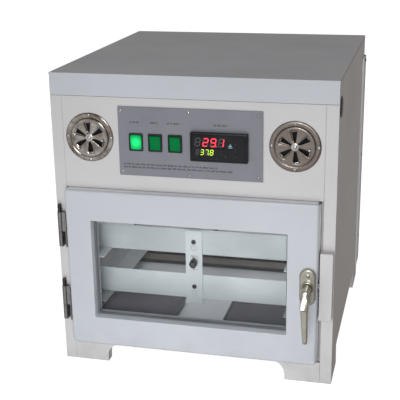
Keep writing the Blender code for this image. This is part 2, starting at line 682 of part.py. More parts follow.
def turning_motor():
    """Geared motor behind the baffle, with a socket for the axle's end."""
    front = BAFFLE_Y + SHEET + GAP
    body = box("turning_motor", (RACK_X - 30.0, front, RACK_Z - 30.0), (RACK_X + 30.0, front + 35.0, RACK_Z + 30.0),
               dull_steel(), bevel=1.0)
    can = turned("can", ((0.0, 0.0), (22.0, 0.0), (22.0, 40.0), (20.0, 42.0), (0.0, 42.0)), "y",
                 (RACK_X, front + 30.0, RACK_Z), dull_steel())
    socket = turned("socket", ((0.0, -5.0), (AXLE_RADIUS + 0.5, -5.0), (AXLE_RADIUS + 0.5, 16.0), (0.0, 16.0)), "y",
                    (RACK_X, front, RACK_Z), dull_steel(), sides=16)
    cut(join(body, can), socket)


def fan():
    """Motor on the back panel, bladed rotor, and a heating ring around it."""
    back = DEPTH - WALL - GAP
    centre = (FAN_X, 0.0, FAN_Z)
    turned("fan_motor", ((0.0, 368.0), (2.5, 368.0), (2.5, 400.0), (28.0, 400.0), (28.0, 470.0), (34.0, 470.0),
           (34.0, back), (0.0, back)), "y", centre, dull_steel())
    rotor = turned("fan_rotor", ((0.0, 350.0), (9.0, 351.0), (11.0, 354.0), (11.0, 366.0), (0.0, 366.0)), "y",
                   centre, black_plastic(), sides=20)
    blades = []
    for number in range(6):
        blade = box("blade", (-5.5, -1.0, 8.0), (5.5, 1.0, 44.0), black_plastic())
        pitch = Matrix.Rotation(math.radians(38.0), 4, "Z")
        spin = Matrix.Rotation(math.radians(60.0 * number), 4, "Y")
        shift = Matrix.Translation((0.0, -FRONT_Y * MM, 0.0))
        home = Matrix.Translation(world(FAN_X, 359.0, FAN_Z))
        blade.data.transform(home @ spin @ pitch @ shift)
        blades.append(blade)
    join(rotor, *blades)
    socket = turned("socket", ((0.0, 362.0), (3.0, 362.0), (3.0, 370.0), (0.0, 370.0)), "y", centre, black_plastic(), sides=12)
    cut(rotor, socket)
    pivot(rotor, FAN_X, 366.0, FAN_Z)
    heater_element(back)


def heater_element(back):
    """Open heating ring whose two ends run back to the panel."""
    radius, ring_y = 60.0, 372.0
    points = []
    for step in range(25):
        angle = math.radians(285.0 + 330.0 * step / 24)
        points.append(world(FAN_X + radius * math.cos(angle), ring_y, FAN_Z + radius * math.sin(angle)))
    for end, place in ((points[0], 0), (points[-1], len(points))):
        leg = Vector((end.x, world(0.0, back, 0.0).y, end.z))
        points.insert(0 if place == 0 else len(points), leg)
    curve = bpy.data.curves.new("heater_element", "CURVE")
    curve.dimensions = "3D"
    curve.bevel_depth = 4.0 * MM
    curve.bevel_resolution = 2
    curve.use_fill_caps = True
    spline = curve.splines.new("POLY")
    spline.points.add(len(points) - 1)
    for point, place in zip(spline.points, points):
        point.co = (*place, 1.0)
    thing = bpy.data.objects.new("heater_element", curve)
    bpy.context.scene.collection.objects.link(thing)
    curve.materials.append(dull_steel())


def small_fittings():
    """Lamp, probe and power inlet."""
    ceiling = HEIGHT - COVER_DROP - GAP
    turned("chamber_lamp", ((0.0, -78.0), (9.0, -76.0), (18.0, -66.0), (20.0, -56.0), (16.0, -42.0), (12.0, -32.0),
           (12.0, -26.0), (20.0, -24.0), (20.0, 0.0), (0.0, 0.0)), "z", (120.0, 200.0, ceiling), pan_plastic())
    under = PLATE[2] + 4.0 - GAP
    turned("temperature_probe", ((0.0, -62.0), (2.5, -60.0), (2.5, -12.0), (6.0, -10.0), (6.0, 0.0), (0.0, 0.0)), "z",
           (60.0, 60.0, under), dull_steel(), sides=16)
    x, z = INLET_CENTRE
    flange = prism("power_inlet", rounded(x - 25.0, x + 25.0, z - 14.0, z + 14.0, 6.0, 3), "y",
                   DEPTH + GAP, DEPTH + INLET_PROUD, black_plastic())
    shell = box("shell", (x - 14.0, DEPTH - 16.0, z - 10.0), (x + 14.0, DEPTH + 1.0, z + 10.0), black_plastic())
    socket = box("socket", (x - 12.0, DEPTH - 13.0, z - 8.0), (x + 12.0, DEPTH + 5.0, z + 8.0), black_plastic())
    cut(join(flange, shell), socket)


def main():
    clear_scene()
    side_panels()
    base_board()
    top_cover()
    floor_and_back()
    upper_front_panel()
    chamber_front_frame()
    rear_baffle()
    side_plugs()
    control_plate()
    control_box()
    controller()
    switches()
    vents()
    door()
    door_seal()
    hinges()
    handle()
    latch()
    rack()
    rack_hanger()
    water_pans()
    turning_motor()
    fan()
    small_fittings()


main()
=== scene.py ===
"""Finishes, fine pieces and studio for a cabinet incubator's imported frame.

Sizes are millimetres in the cabinet's own frame: X to the right seen from the
front, Y towards the back from the front plane of the side panels, Z up from
the floor. metres() turns them into the frame's metres.
"""
import math

import bmesh
import bpy
import numpy as np
from bpy.props import FloatProperty, FloatVectorProperty, PointerProperty
from mathutils import Matrix, Vector


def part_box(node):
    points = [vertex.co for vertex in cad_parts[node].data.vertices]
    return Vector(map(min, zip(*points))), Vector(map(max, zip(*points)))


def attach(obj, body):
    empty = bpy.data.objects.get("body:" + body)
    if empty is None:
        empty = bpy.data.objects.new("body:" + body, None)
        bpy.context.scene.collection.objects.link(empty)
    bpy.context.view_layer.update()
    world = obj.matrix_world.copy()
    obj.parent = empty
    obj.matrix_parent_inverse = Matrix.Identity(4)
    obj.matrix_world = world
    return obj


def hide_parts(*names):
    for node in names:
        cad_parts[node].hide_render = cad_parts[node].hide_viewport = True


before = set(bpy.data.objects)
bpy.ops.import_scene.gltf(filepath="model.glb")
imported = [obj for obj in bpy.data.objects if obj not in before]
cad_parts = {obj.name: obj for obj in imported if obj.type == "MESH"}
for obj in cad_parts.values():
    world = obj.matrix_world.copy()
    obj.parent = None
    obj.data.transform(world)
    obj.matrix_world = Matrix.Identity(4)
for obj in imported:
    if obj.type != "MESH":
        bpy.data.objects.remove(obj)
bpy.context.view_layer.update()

bl_info = {
    "name": "Cabinet Incubator",
    "version": (1, 0, 0),
    "blender": (4, 5, 0),
    "location": "3D View > Sidebar > Incubator",
    "description": "Finishes, fine pieces and studio around the incubator's frame",
    "category": "Object",
}

MM = 0.001
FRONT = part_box("left_side_panel")[0][1]      # the front plane in metres


def metres(points):
    """Millimetres to metres: every number by a thousandth, y then shifted to the front plane."""
    out = np.array(points, float) * MM
    out[..., 1] += FRONT
    return out


def span(node):
    """A CAD node's box in cabinet millimetres: its lowest and highest corners."""
    low, high = (np.array(corner, float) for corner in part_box(node))
    low[1] -= FRONT
    high[1] -= FRONT
    return low / MM, high / MM


def middle(node):
    low, high = span(node)
    return (low + high) / 2


def front_rect(node):
    """A node's outline from the front: lowest and highest x, then lowest and highest z."""
    low, high = span(node)
    return low[0], high[0], low[2], high[2]


def grown(rect, by):
    return rect[0] - by, rect[1] + by, rect[2] - by, rect[3] + by


def size(name):
    """One of the sizes in the sidebar, in millimetres."""
    return getattr(bpy.context.scene.incubator_sizes, name) / MM


# Surfaces on grids


def grid(points, around=True, looped=False):
    """Patch from a grid of points: each point joins the next along its row and its column.

    Rows close round when around is set, and the last row meets the first when looped is.
    """
    rows, cols = points.shape[:2]
    index = np.arange(rows * cols).reshape(rows, cols)
    if looped:
        index = np.vstack([index, index[:1]])
    if around:
        index = np.hstack([index, index[:, :1]])
    corners = (index[:-1, :-1], index[:-1, 1:], index[1:, 1:], index[1:, :-1])
    return points.reshape(-1, 3), np.stack(corners, -1).reshape(-1, 4)


AXES = {
    "x": ((0, 1, 0), (0, 0, 1), (1, 0, 0)),
    "y": ((1, 0, 0), (0, 0, 1), (0, 1, 0)),
    "z": ((1, 0, 0), (0, 1, 0), (0, 0, 1)),
}


def turned(profile, axis, centre, sides=40, looped=False):
    """Profile of (radius, along) turned about an axis: centre + r cos t u + r sin t v + h w."""
    radius, along = np.array(profile, float).T[:, :, None, None]
    turn = np.linspace(0.0, 2 * np.pi, sides, endpoint=False)[None, :, None]
    u, v, w = (np.array(direction, float) for direction in AXES[axis])
    points = np.array(centre, float) + radius * (np.cos(turn) * u + np.sin(turn) * v) + along * w
    return grid(points, looped=looped)


def eased(profile, rounds=2, share=0.25):
    """Corner cutting: each round, a run between two points gives up a share at either end."""
    points = np.array(profile, float)
    for _ in range(rounds):
        start, end = points[:-1], points[1:]
        kept = np.stack([start + (end - start) * share, end - (end - start) * share], 1)
        kept = kept.reshape(-1, points.shape[1])
        points = np.concatenate([points[:1], kept[1:-1], points[-1:]])
    return points


def edge_ring(edge, centre, share=0.06):
    """Point a little way from the edge towards the centre, so that a flat face keeps flat shading."""
    return tuple(a + (b - a) * share for a, b in zip(edge, centre))


def corner_turns(steps):
    """Angles round a rectangle's four round corners, and the signs of each corner's two sides."""
    starts = (0.0, 90.0, 180.0, 270.0)
    turn = np.concatenate([np.radians(start + np.linspace(0.0, 90.0, steps + 1)) for start in starts])
    return turn, *(np.repeat(signs, steps + 1) for signs in ((1, -1, -1, 1), (1, 1, -1, -1)))


def round_rect(rect, radius, steps=4):
    """Closed outline of a rectangle with round corners, as a column of (a, b) points."""
    low_a, high_a, low_b, high_b = rect
    turn, sign_a, sign_b = corner_turns(steps)
    half_a, half_b = (high_a - low_a) / 2 - radius, (high_b - low_b) / 2 - radius
    return np.stack([(low_a + high_a) / 2 + sign_a * half_a + radius * np.cos(turn),
                     (low_b + high_b) / 2 + sign_b * half_b + radius * np.sin(turn)], -1)


def plaque(rect, profile, radius, axis="y", steps=6, looped=False):
    """Profile of (inset, along) carried round a rectangle with round corners.

    At inset d the half sides are a - d and b - d and the corner radius r - d, none under
    nothing, so an inset of the shorter half side closes the surface on its middle line.
    """
    low_a, high_a, low_b, high_b = rect
    profile = [tuple(point) for point in profile]
    if not looped:
        first, last = edge_ring(profile[1], profile[0]), edge_ring(profile[-2], profile[-1])
        profile = [profile[0], first, *profile[1:-1], last, profile[-1]]
    inset, along = np.array(profile, float).T[:, :, None]
    turn, sign_a, sign_b = corner_turns(steps)
    half_a = np.maximum((high_a - low_a) / 2 - inset, 0.0)
    half_b = np.maximum((high_b - low_b) / 2 - inset, 0.0)
    round_off = np.minimum(np.maximum(radius - inset, 0.02), np.minimum(half_a, half_b))
    a = (low_a + high_a) / 2 + sign_a * (half_a - round_off) + round_off * np.cos(turn)
    b = (low_b + high_b) / 2 + sign_b * (half_b - round_off) + round_off * np.sin(turn)
    along = np.broadcast_to(along, a.shape)
    order = {"x": (along, a, b), "y": (a, along, b), "z": (a, b, along)}[axis]
    return grid(np.stack(order, -1), looped=looped)


def block(low, high, round_off=0.6, axis="y", steps=3):
    """Rounded block between two corners: a plaque whose edges carry a quarter round."""
    first = {"x": (1, 2, 0), "y": (0, 2, 1), "z": (0, 1, 2)}[axis]
    a, b, along = ((low[place], high[place]) for place in first)
    half = min(a[1] - a[0], b[1] - b[0]) / 2
    turn = np.radians(np.linspace(0.0, 90.0, steps + 1))
    inset = round_off * (1 - np.sin(turn))
    rise = round_off * (1 - np.cos(turn))
    start = list(zip(inset, along[0] + rise))
    end = list(zip(inset, along[1] - rise))[::-1]
    profile = [(half, along[0]), *start, *end, (half, along[1])]
    return plaque((*a, *b), profile, round_off, axis, steps)


def lofted(rings):
    """Stack of closed outlines, each end drawn in to the middle of its outline."""
    ends = [np.broadcast_to(ring.mean(0), ring.shape)[None] for ring in (rings[0], rings[-1])]
    return grid(np.concatenate([ends[0], rings, ends[1]]))


def squared(turn, power):
    """Cosine and sine raised to 2/power with their signs kept: 2 is an ellipse, more is squarer."""
    return [np.sign(wave) * np.abs(wave) ** (2 / power) for wave in (np.cos(turn), np.sin(turn))]


def swept(path, radius, side, sides):
    """Circle carried along a path: path(s) + radius(s) (cos t side + sin t normal), its ends closed."""
    path = np.array(path, float)
    along = np.gradient(path, axis=0)
    along /= np.linalg.norm(along, axis=1, keepdims=True)
    across = np.broadcast_to(np.array(side, float), path.shape)
    across = across - along * (across * along).sum(1, keepdims=True)
    across /= np.linalg.norm(across, axis=1, keepdims=True)
    normal = np.cross(along, across)
    turn = np.linspace(0.0, 2 * np.pi, sides, endpoint=False)[None, :]
    c, d = (radius[:, None] * wave for wave in squared(turn, 2.0))
    return lofted(path[:, None] + c[..., None] * across[:, None] + d[..., None] * normal[:, None])


def resampled(stations, count):
    """Smooth stations: a cubic through each column against the running length, at even steps."""
    stations = np.array(stations, float)
    length = np.concatenate([[0.0], np.cumsum(np.linalg.norm(np.diff(stations[:, :3], axis=0), axis=1))])
    slope = np.gradient(stations, length, axis=0)
    at = np.linspace(0.0, length[-1], count)
    piece_at = np.clip(np.searchsorted(length, at, side="right") - 1, 0, len(length) - 2)
    width = (length[piece_at + 1] - length[piece_at])[:, None]
    f = (at - length[piece_at])[:, None] / width
    start, end = stations[piece_at], stations[piece_at + 1]
    tangent, after = slope[piece_at] * width, slope[piece_at + 1] * width
    blend = (2 * f**3 - 3 * f**2 + 1) * start + (f**3 - 2 * f**2 + f) * tangent
    return blend + (-2 * f**3 + 3 * f**2) * end + (f**3 - f**2) * after


def outline_slab(outline, low, high):
    """Flat slab: an (x, z) outline carried in y from low to high and closed on its middle."""
    ring = np.array(outline, float)
    rings = [np.stack([ring[:, 0], np.full(len(ring), y), ring[:, 1]], -1) for y in (low, high)]
    return lofted(np.array(rings))


def screw_head(centre, radius, height, axis="y", sign=-1.0, turn=20.0, cross=True):
    """Domed head: height H (1 - 0.6 (r/R)^3), less a cross-shaped recess near the middle."""
    ring = np.linspace(0.0, 1.0, 9)[:, None]
    angle = np.linspace(0.0, 2 * np.pi, 32, endpoint=False)[None, :]
    rise = height * (1.0 - 0.6 * ring**3) * np.ones_like(angle)
    u = ring * np.cos(angle + np.radians(turn))
    v = ring * np.sin(angle + np.radians(turn))
    arm = np.minimum(np.abs(u), np.abs(v)) if cross else np.abs(v)
    rise = rise - 0.55 * height * ((arm < 0.14) & (ring < 0.62))
    radius_at = np.vstack([ring, [[1.0]], [[0.0]]]) * radius
    rise = np.vstack([rise, np.zeros((2, 32))])
    first, second, out = (np.array(direction, float) for direction in AXES[axis])
    flat = radius_at[..., None] * (np.cos(angle)[..., None] * first + np.sin(angle)[..., None] * second)
    return grid(np.array(centre, float) + flat + (sign * rise)[..., None] * out)


def hexagon(centre, across_flats, low, high, chamfer=0.5):
    """Nut: a hexagon whose corners fall away, carried in y: r(t) = flat / cos(t mod 60 - 30)."""
    turn = np.radians(np.arange(0.0, 360.0, 7.5))
    flat = across_flats / 2 / np.cos(np.radians((np.degrees(turn) % 60.0) - 30.0))
    rings = []
    for y, limit in ((high, across_flats), (low + chamfer, across_flats), (low, across_flats / 2 * 1.01)):
        reach = np.minimum(flat, limit)
        x, z = centre[0] + reach * np.cos(turn), centre[1] + reach * np.sin(turn)
        rings.append(np.stack([x, np.full(len(turn), y), z], -1))
    return lofted(np.array(rings))


def solid_mesh(patch, closed):
    """One patch as a bmesh, its poles and seams merged and its faces turned outwards."""
    points, faces = patch
    bm = bmesh.new()
    mesh = bpy.data.meshes.new("patch")
    mesh.from_pydata(metres(points).tolist(), [], faces.tolist())
    bm.from_mesh(mesh)
    bpy.data.meshes.remove(mesh)
    bmesh.ops.remove_doubles(bm, verts=bm.verts, dist=1e-6)
    bmesh.ops.dissolve_degenerate(bm, dist=1e-7, edges=bm.edges)
    if closed:
        bmesh.ops.recalc_face_normals(bm, faces=bm.faces)
    return bm


def piece(name, patches, look, body, replaces=(), closed=True, smooth=35.0, wall=0.0):
    """Object from patches, riding a body, with a finish by its key.

    wall gives an open sheet its thickness, towards the back.
    """
    whole = bpy.data.meshes.new(name)
    joined = bmesh.new()
    for patch in patches:
        bm = solid_mesh(patch, closed)
        part = bpy.data.meshes.new("part")
        bm.to_mesh(part)
        bm.free()
        joined.from_mesh(part)
        bpy.data.meshes.remove(part)
    joined.to_mesh(whole)
    joined.free()
    whole.materials.append(FINISHES[look])
    whole.shade_smooth()
    whole.set_sharp_from_angle(angle=math.radians(smooth))
    made = bpy.data.objects.new(name, whole)
    bpy.context.scene.collection.objects.link(made)
    if wall:
        thick = made.modifiers.new("wall", "SOLIDIFY")
        thick.thickness = wall * MM
        thick.offset = -1.0
    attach(made, body)
    if replaces:
        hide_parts(*replaces)


# Finishes


def effect(name, inputs, outputs):
    """New shader node group with the named sockets, and its two end nodes."""
    tree = bpy.data.node_groups.new(name, "ShaderNodeTree")
    for label, kind, value in inputs:
        socket = tree.interface.new_socket(label, in_out="INPUT", socket_type=kind)
        if value is not None:
            socket.default_value = value
    for label in outputs:
        tree.interface.new_socket(label, in_out="OUTPUT", socket_type="NodeSocketFloat")
    return tree, tree.nodes.new("NodeGroupInput"), tree.nodes.new("NodeGroupOutput")


def fill(tree, node, values):
    """Set or link a node's inputs from a mapping: a socket is linked, anything else is a value."""
    for label, value in values.items():
        if isinstance(value, bpy.types.NodeSocket):
            tree.links.new(value, node.inputs[label])
        else:
            node.inputs[label].default_value = value
    return node


def noise(tree, vector, scale, detail=3.0, roughness=0.5):
    values = {"Vector": vector, "Scale": scale, "Detail": detail, "Roughness": roughness}
    return fill(tree, tree.nodes.new("ShaderNodeTexNoise"), values).outputs["Fac"]


def remap(tree, value, low, high, out_low=0.0, out_high=1.0):
    values = {"Value": value, "From Min": low, "From Max": high, "To Min": out_low, "To Max": out_high}
    return fill(tree, tree.nodes.new("ShaderNodeMapRange"), values).outputs["Result"]


def arithmetic(tree, operation, first, second):
    node = tree.nodes.new("ShaderNodeMath")
    node.operation = operation
    return fill(tree, node, {0: first, 1: second}).outputs[0]


def mixed(tree, first, second, factor):
    """Colour between two others, each a socket or three numbers, by the factor's socket."""
    node = tree.nodes.new("ShaderNodeMix")
    node.data_type = "RGBA"
    ends = {"A": first, "B": second}
    ends = {label: (*end, 1.0) if isinstance(end, tuple) else end for label, end in ends.items()}
    return fill(tree, node, {**ends, "Factor": factor}).outputs["Result"]


def new_surface(name):
    """Material with its node tree, its shader, and the socket of its Object coordinates."""
    made = bpy.data.materials.new(name)
    made.use_nodes = True
    tree = made.node_tree
    return made, tree, tree.nodes["Principled BSDF"], tree.nodes.new("ShaderNodeTexCoord").outputs["Object"]


def paint_skin():
    """Sprayed paint: a fine peel, broad blotches, and soil that gathers low down."""
    tree, entry, end = effect(
        "Paint Skin",
        (("Vector", "NodeSocketVector", None), ("Peel Scale", "NodeSocketFloat", 420.0),
         ("Blotch Scale", "NodeSocketFloat", 7.0)),
        ("Height", "Blotch", "Soil"),
    )
    vector = entry.outputs["Vector"]
    blotch = remap(tree, noise(tree, vector, entry.outputs["Blotch Scale"], 4.0, 0.6), 0.35, 0.7)
    split = fill(tree, tree.nodes.new("ShaderNodeSeparateXYZ"), {"Vector": vector})
    low_down = remap(tree, split.outputs["Z"], 0.09, 0.0)
    soil = arithmetic(tree, "MULTIPLY", low_down, remap(tree, noise(tree, vector, 30.0, 5.0), 0.4, 0.75))
    fill(tree, end, {"Height": noise(tree, vector, entry.outputs["Peel Scale"], 2.0), "Blotch": blotch, "Soil": soil})
    return tree


def drawn_metal():
    """Rolled or drawn metal: fine lines along one direction, and slow cloudy stains."""
    tree, entry, end = effect(
        "Drawn Metal",
        (("Vector", "NodeSocketVector", None), ("Stretch", "NodeSocketVector", (1.0, 1.0, 1.0)),
         ("Line Scale", "NodeSocketFloat", 300.0), ("Stain Scale", "NodeSocketFloat", 40.0)),
        ("Height", "Streak", "Stain"),
    )
    drawn = tree.nodes.new("ShaderNodeVectorMath")
    drawn.operation = "MULTIPLY"
    fill(tree, drawn, {0: entry.outputs["Vector"], 1: entry.outputs["Stretch"]})
    lines = noise(tree, drawn.outputs["Vector"], entry.outputs["Line Scale"], 3.0, 0.6)
    stain = noise(tree, entry.outputs["Vector"], entry.outputs["Stain Scale"], 4.0, 0.55)
    fill(tree, end, {"Height": lines, "Streak": remap(tree, lines, 0.3, 0.7), "Stain": remap(tree, stain, 0.38, 0.68)})
    return tree


def moulded_grain():
    """Moulded plastic or rubber: a fine pebble and patches where it has been handled."""
    tree, entry, end = effect(
        "Moulded Grain",
        (("Vector", "NodeSocketVector", None), ("Grain Scale", "NodeSocketFloat", 900.0),
         ("Patch Scale", "NodeSocketFloat", 25.0)),
        ("Height", "Patch"),
    )
    vector = entry.outputs["Vector"]
    cells = tree.nodes.new("ShaderNodeTexVoronoi")
    fill(tree, cells, {"Vector": vector, "Scale": entry.outputs["Grain Scale"]})
    patch = noise(tree, vector, entry.outputs["Patch Scale"], 4.0, 0.6)
    fill(tree, end, {"Height": cells.outputs["Distance"], "Patch": remap(tree, patch, 0.35, 0.7)})
    return tree


EFFECTS = {}
DARKENING = {"paint": 0.6, "metal": 0.75}    # how dark the soil or stain is, against the second colour


def shared(kind):
    """The node group of one effect, built the first time that it is asked for."""
    makers = {"paint": paint_skin, "metal": drawn_metal, "plastic": moulded_grain}
    if kind not in EFFECTS:
        EFFECTS[kind] = makers[kind]()
    return EFFECTS[kind]


def finish(name, kind, colour, second, rough, bump, metallic=0.0, coat=0.0, settings=None, glow=None, specular=0.5):
    """Material around one shared effect.

    The effect's mask mixes two colours and moves the roughness between two values, its stain
    or soil darkens the colour, and its height goes through a bump of (strength, millimetres).
    """
    made, tree, shader, place = new_surface(name)
    group = tree.nodes.new("ShaderNodeGroup")
    group.node_tree = shared(kind)
    fill(tree, group, {"Vector": place, **(settings or {})})
    mask = group.outputs[1]
    base = mixed(tree, colour, second, mask)
    if kind in DARKENING:
        stain = arithmetic(tree, "MULTIPLY", group.outputs[2], 0.5)
        base = mixed(tree, base, scaled(second, DARKENING[kind]), stain)
    lift = fill(tree, tree.nodes.new("ShaderNodeBump"), {
        "Strength": bump[0], "Distance": bump[1] * MM, "Height": group.outputs["Height"]})
    fill(tree, shader, {
        "Base Color": base, "Roughness": remap(tree, mask, 0.0, 1.0, *rough), "Normal": lift.outputs["Normal"],
        "Metallic": metallic, "Coat Weight": coat, "Coat Roughness": 0.3 if kind == "paint" else 0.08,
        "Specular IOR Level": specular})
    if glow:
        add_glow(tree, shader, place, mask, *glow)
    made.diffuse_color = (*colour, 1.0)
    return made


def add_glow(tree, shader, place, mask, colour, strength, centre, reach):
    """Light from inside: the colour falls off with the distance from a centre, in millimetres."""
    away = tree.nodes.new("ShaderNodeVectorMath")
    away.operation = "DISTANCE"
    fill(tree, away, {0: place, 1: metres(centre).tolist()})
    near = remap(tree, away.outputs["Value"], 0.0, reach * MM, 1.0, 0.12)
    near = arithmetic(tree, "MULTIPLY", near, remap(tree, mask, 0.0, 1.0, 0.85, 1.0))
    fill(tree, shader, {"Emission Strength": strength, "Emission Color": mixed(tree, (0.0, 0.0, 0.0), colour, near)})


def pane_glass():
    """Clear float glass that lets the lamps' light through, with faint wiped smears."""
    made, tree, shader, place = new_surface("door_glass_clear")
    smear = remap(tree, noise(tree, place, 9.0, 5.0, 0.6), 0.45, 0.8, 0.0, 0.05)
    fill(tree, shader, {
        "Base Color": (0.985, 0.99, 0.992, 1.0), "Transmission Weight": 1.0, "IOR": 1.18, "Roughness": smear})
    clear = tree.nodes.new("ShaderNodeBsdfTransparent")
    clear.inputs["Color"].default_value = (0.97, 0.985, 0.985, 1.0)
    path = tree.nodes.new("ShaderNodeLightPath")
    through = arithmetic(tree, "MAXIMUM", path.outputs["Is Shadow Ray"], path.outputs["Is Diffuse Ray"])
    choose = fill(tree, tree.nodes.new("ShaderNodeMixShader"), {
        0: through, 1: shader.outputs["BSDF"], 2: clear.outputs["BSDF"]})
    tree.links.new(choose.outputs["Shader"], tree.nodes["Material Output"].inputs["Surface"])
    made.diffuse_color = (0.85, 0.9, 0.9, 0.3)
    return made


def scaled(colour, factor):
    return tuple(part * factor for part in colour)


FINISHES = {}


def mix_finishes(colours):
    """Every finish of the incubator, keyed by a plain name: each row adds to or changes its family's."""
    panel, door, plate, alloy, _ = (tuple(getattr(colours, name)) for name in colours.__annotations__)
    enamel = {"kind": "paint", "bump": (0.08, 0.2), "settings": {"Peel Scale": 380.0, "Blotch Scale": 6.0}}
    sheet = {"kind": "metal", "bump": (0.10, 0.15), "metallic": 0.2, "rough": (0.36, 0.50), "settings": {
        "Stretch": (0.06, 1.0, 1.0), "Line Scale": 520.0, "Stain Scale": 12.0}}
    worn = {"kind": "metal", "bump": (0.15, 0.2), "metallic": 1.0, "settings": {
        "Line Scale": 260.0, "Stain Scale": 60.0}}
    moulded = {"kind": "plastic"}
    rows = (
        ("panel", "panel_enamel", enamel, panel, scaled(panel, 0.93), {"rough": (0.32, 0.42), "coat": 0.15}),
        ("door", "door_enamel", enamel, door, scaled(door, 0.94), {"rough": (0.30, 0.40), "coat": 0.2}),
        ("cover", "cover_enamel", enamel, scaled(door, 0.98), scaled(door, 0.905), {
            "rough": (0.36, 0.48), "bump": (0.10, 0.2), "coat": 0.1}),
        # edge: a lighter copy of the door enamel for faces that the lamps leave in shade: painted light
        ("edge", "door_edge_enamel", enamel, (0.90, 0.92, 0.95), (0.84, 0.86, 0.89), {"rough": (0.36, 0.46)}),
        # seam: a mid grey that stands in for the soft shade in joints and gaps: painted shade
        ("seam", "seam_filler", enamel, scaled(panel, 0.66), scaled(panel, 0.58), {
            "rough": (0.45, 0.55), "bump": (0.08, 0.1)}),
        ("plate", "plate_grey", enamel, plate, scaled(plate, 0.90), {
            "rough": (0.40, 0.52), "bump": (0.12, 0.12), "settings": {"Peel Scale": 900.0, "Blotch Scale": 14.0}}),
        ("ink", "printed_ink", enamel, (0.03, 0.03, 0.04), (0.05, 0.05, 0.06), {
            "rough": (0.5, 0.6), "bump": (0.05, 0.05), "settings": {"Blotch Scale": 900.0}}),
        ("liner", "chamber_liner", sheet, (0.40, 0.43, 0.44), (0.30, 0.32, 0.33), {
            "rough": (0.38, 0.55), "metallic": 0.15}),
        ("chamber_floor", "chamber_floor_sheet", sheet, (0.62, 0.64, 0.67), (0.54, 0.56, 0.59), {"metallic": 0.1}),
        # baffle: a near-black sheet for the deep shade at the back of the chamber: painted shade
        ("baffle", "baffle_sheet", sheet, (0.075, 0.072, 0.07), (0.05, 0.048, 0.045), {"metallic": 0.3}),
        # skirt: its brown stands in for a brownish reflection: painted reflection
        ("skirt", "baffle_skirt_brown", sheet, (0.24, 0.22, 0.20), (0.17, 0.15, 0.135), {"rough": (0.32, 0.45)}),
        ("zinc", "zinc_sheet_satin", sheet, (0.575, 0.605, 0.63), (0.50, 0.53, 0.555), {}),
        # a lighter copy of the satin zinc for rack parts that look brighter: painted light
        ("zinc_painted_light", "zinc_sheet_pale", sheet, (0.70, 0.735, 0.77), (0.62, 0.655, 0.685), {}),
        ("hinge", "hinge_steel", worn, (0.36, 0.36, 0.36), (0.25, 0.25, 0.25), {"rough": (0.26, 0.42)}),
        # steel: its brownish tint stands in for brownish reflections (painted reflection); its cloudy stains are wear
        ("steel", "dull_steel_worn", worn, (0.30, 0.275, 0.25), (0.20, 0.17, 0.15), {"rough": (0.22, 0.40)}),
        # bright: its broad dark brown streaks stand in for dark reflections in the chrome: painted reflection
        ("bright", "vent_bright", worn, (0.60, 0.58, 0.56), (0.17, 0.135, 0.11), {
            "rough": (0.06, 0.14), "bump": (0.40, 0.9), "settings": {"Line Scale": 60.0, "Stain Scale": 38.0}}),
        ("screw", "plated_screw", worn, (0.72, 0.72, 0.72), (0.50, 0.50, 0.50), {
            "rough": (0.18, 0.32), "bump": (0.10, 0.1), "settings": {"Line Scale": 700.0, "Stain Scale": 90.0}}),
        ("dark_screw", "blackened_screw", worn, (0.10, 0.10, 0.11), (0.05, 0.05, 0.05), {
            "rough": (0.28, 0.45), "bump": (0.10, 0.1), "settings": {"Line Scale": 700.0}}),
        ("alloy", "handle_champagne", worn, alloy, scaled(alloy, 0.88), {
            "rough": (0.24, 0.34), "bump": (0.08, 0.1), "settings": {"Stretch": (1.0, 1.0, 0.1), "Line Scale": 650.0}}),
        ("black", "black_moulded", moulded, (0.010, 0.010, 0.012), (0.018, 0.018, 0.021), {
            "rough": (0.28, 0.42), "bump": (0.12, 0.1), "specular": 0.3}),
        ("gloss_black", "black_gloss", moulded, (0.010, 0.010, 0.012), (0.02, 0.02, 0.022), {
            "rough": (0.08, 0.18), "bump": (0.03, 0.1), "coat": 0.3, "settings": {"Grain Scale": 300.0}}),
        ("gasket", "gasket_grey", moulded, (0.13, 0.13, 0.15), (0.17, 0.17, 0.19), {
            "rough": (0.5, 0.65), "bump": (0.15, 0.12), "settings": {"Grain Scale": 700.0}}),
        ("rubber", "matt_rubber", moulded, (0.035, 0.035, 0.038), (0.06, 0.06, 0.062), {
            "rough": (0.6, 0.78), "bump": (0.2, 0.12), "settings": {"Grain Scale": 700.0}}),
        ("mesh", "black_gauze", moulded, (0.006, 0.006, 0.007), (0.012, 0.012, 0.013), {
            "rough": (0.7, 0.85), "bump": (0.2, 0.2), "settings": {"Grain Scale": 900.0}, "specular": 0.1}),
        ("pan", "pan_grey_plastic", moulded, (0.07, 0.068, 0.082), (0.105, 0.102, 0.118), {
            "rough": (0.34, 0.5), "bump": (0.12, 0.15), "settings": {"Grain Scale": 500.0, "Patch Scale": 18.0}}),
        ("window", "smoked_window", moulded, (0.009, 0.009, 0.011), (0.015, 0.015, 0.018), {
            "rough": (0.10, 0.2), "bump": (0.02, 0.05), "specular": 0.25}),
        ("ghost", "unlit_segment", moulded, (0.06, 0.06, 0.068), (0.08, 0.08, 0.088), {
            "rough": (0.3, 0.4), "bump": (0.02, 0.05)}),
        ("bulb", "lamp_opal", moulded, (0.75, 0.74, 0.70), (0.68, 0.67, 0.62), {
            "rough": (0.25, 0.35), "bump": (0.03, 0.1)}),
    )
    for key, name, family, colour, second, own in rows:
        FINISHES[key] = finish(name, colour=colour, second=second, **{**family, **own})
    FINISHES["glass"] = pane_glass()


def paint_nodes(names, key):
    """Give CAD nodes a finish through their material slots."""
    for name in names:
        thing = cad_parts[name]
        if not thing.material_slots:
            thing.data.materials.append(None)
        for slot in thing.material_slots:
            slot.material = FINISHES[key]


# Cabinet trim

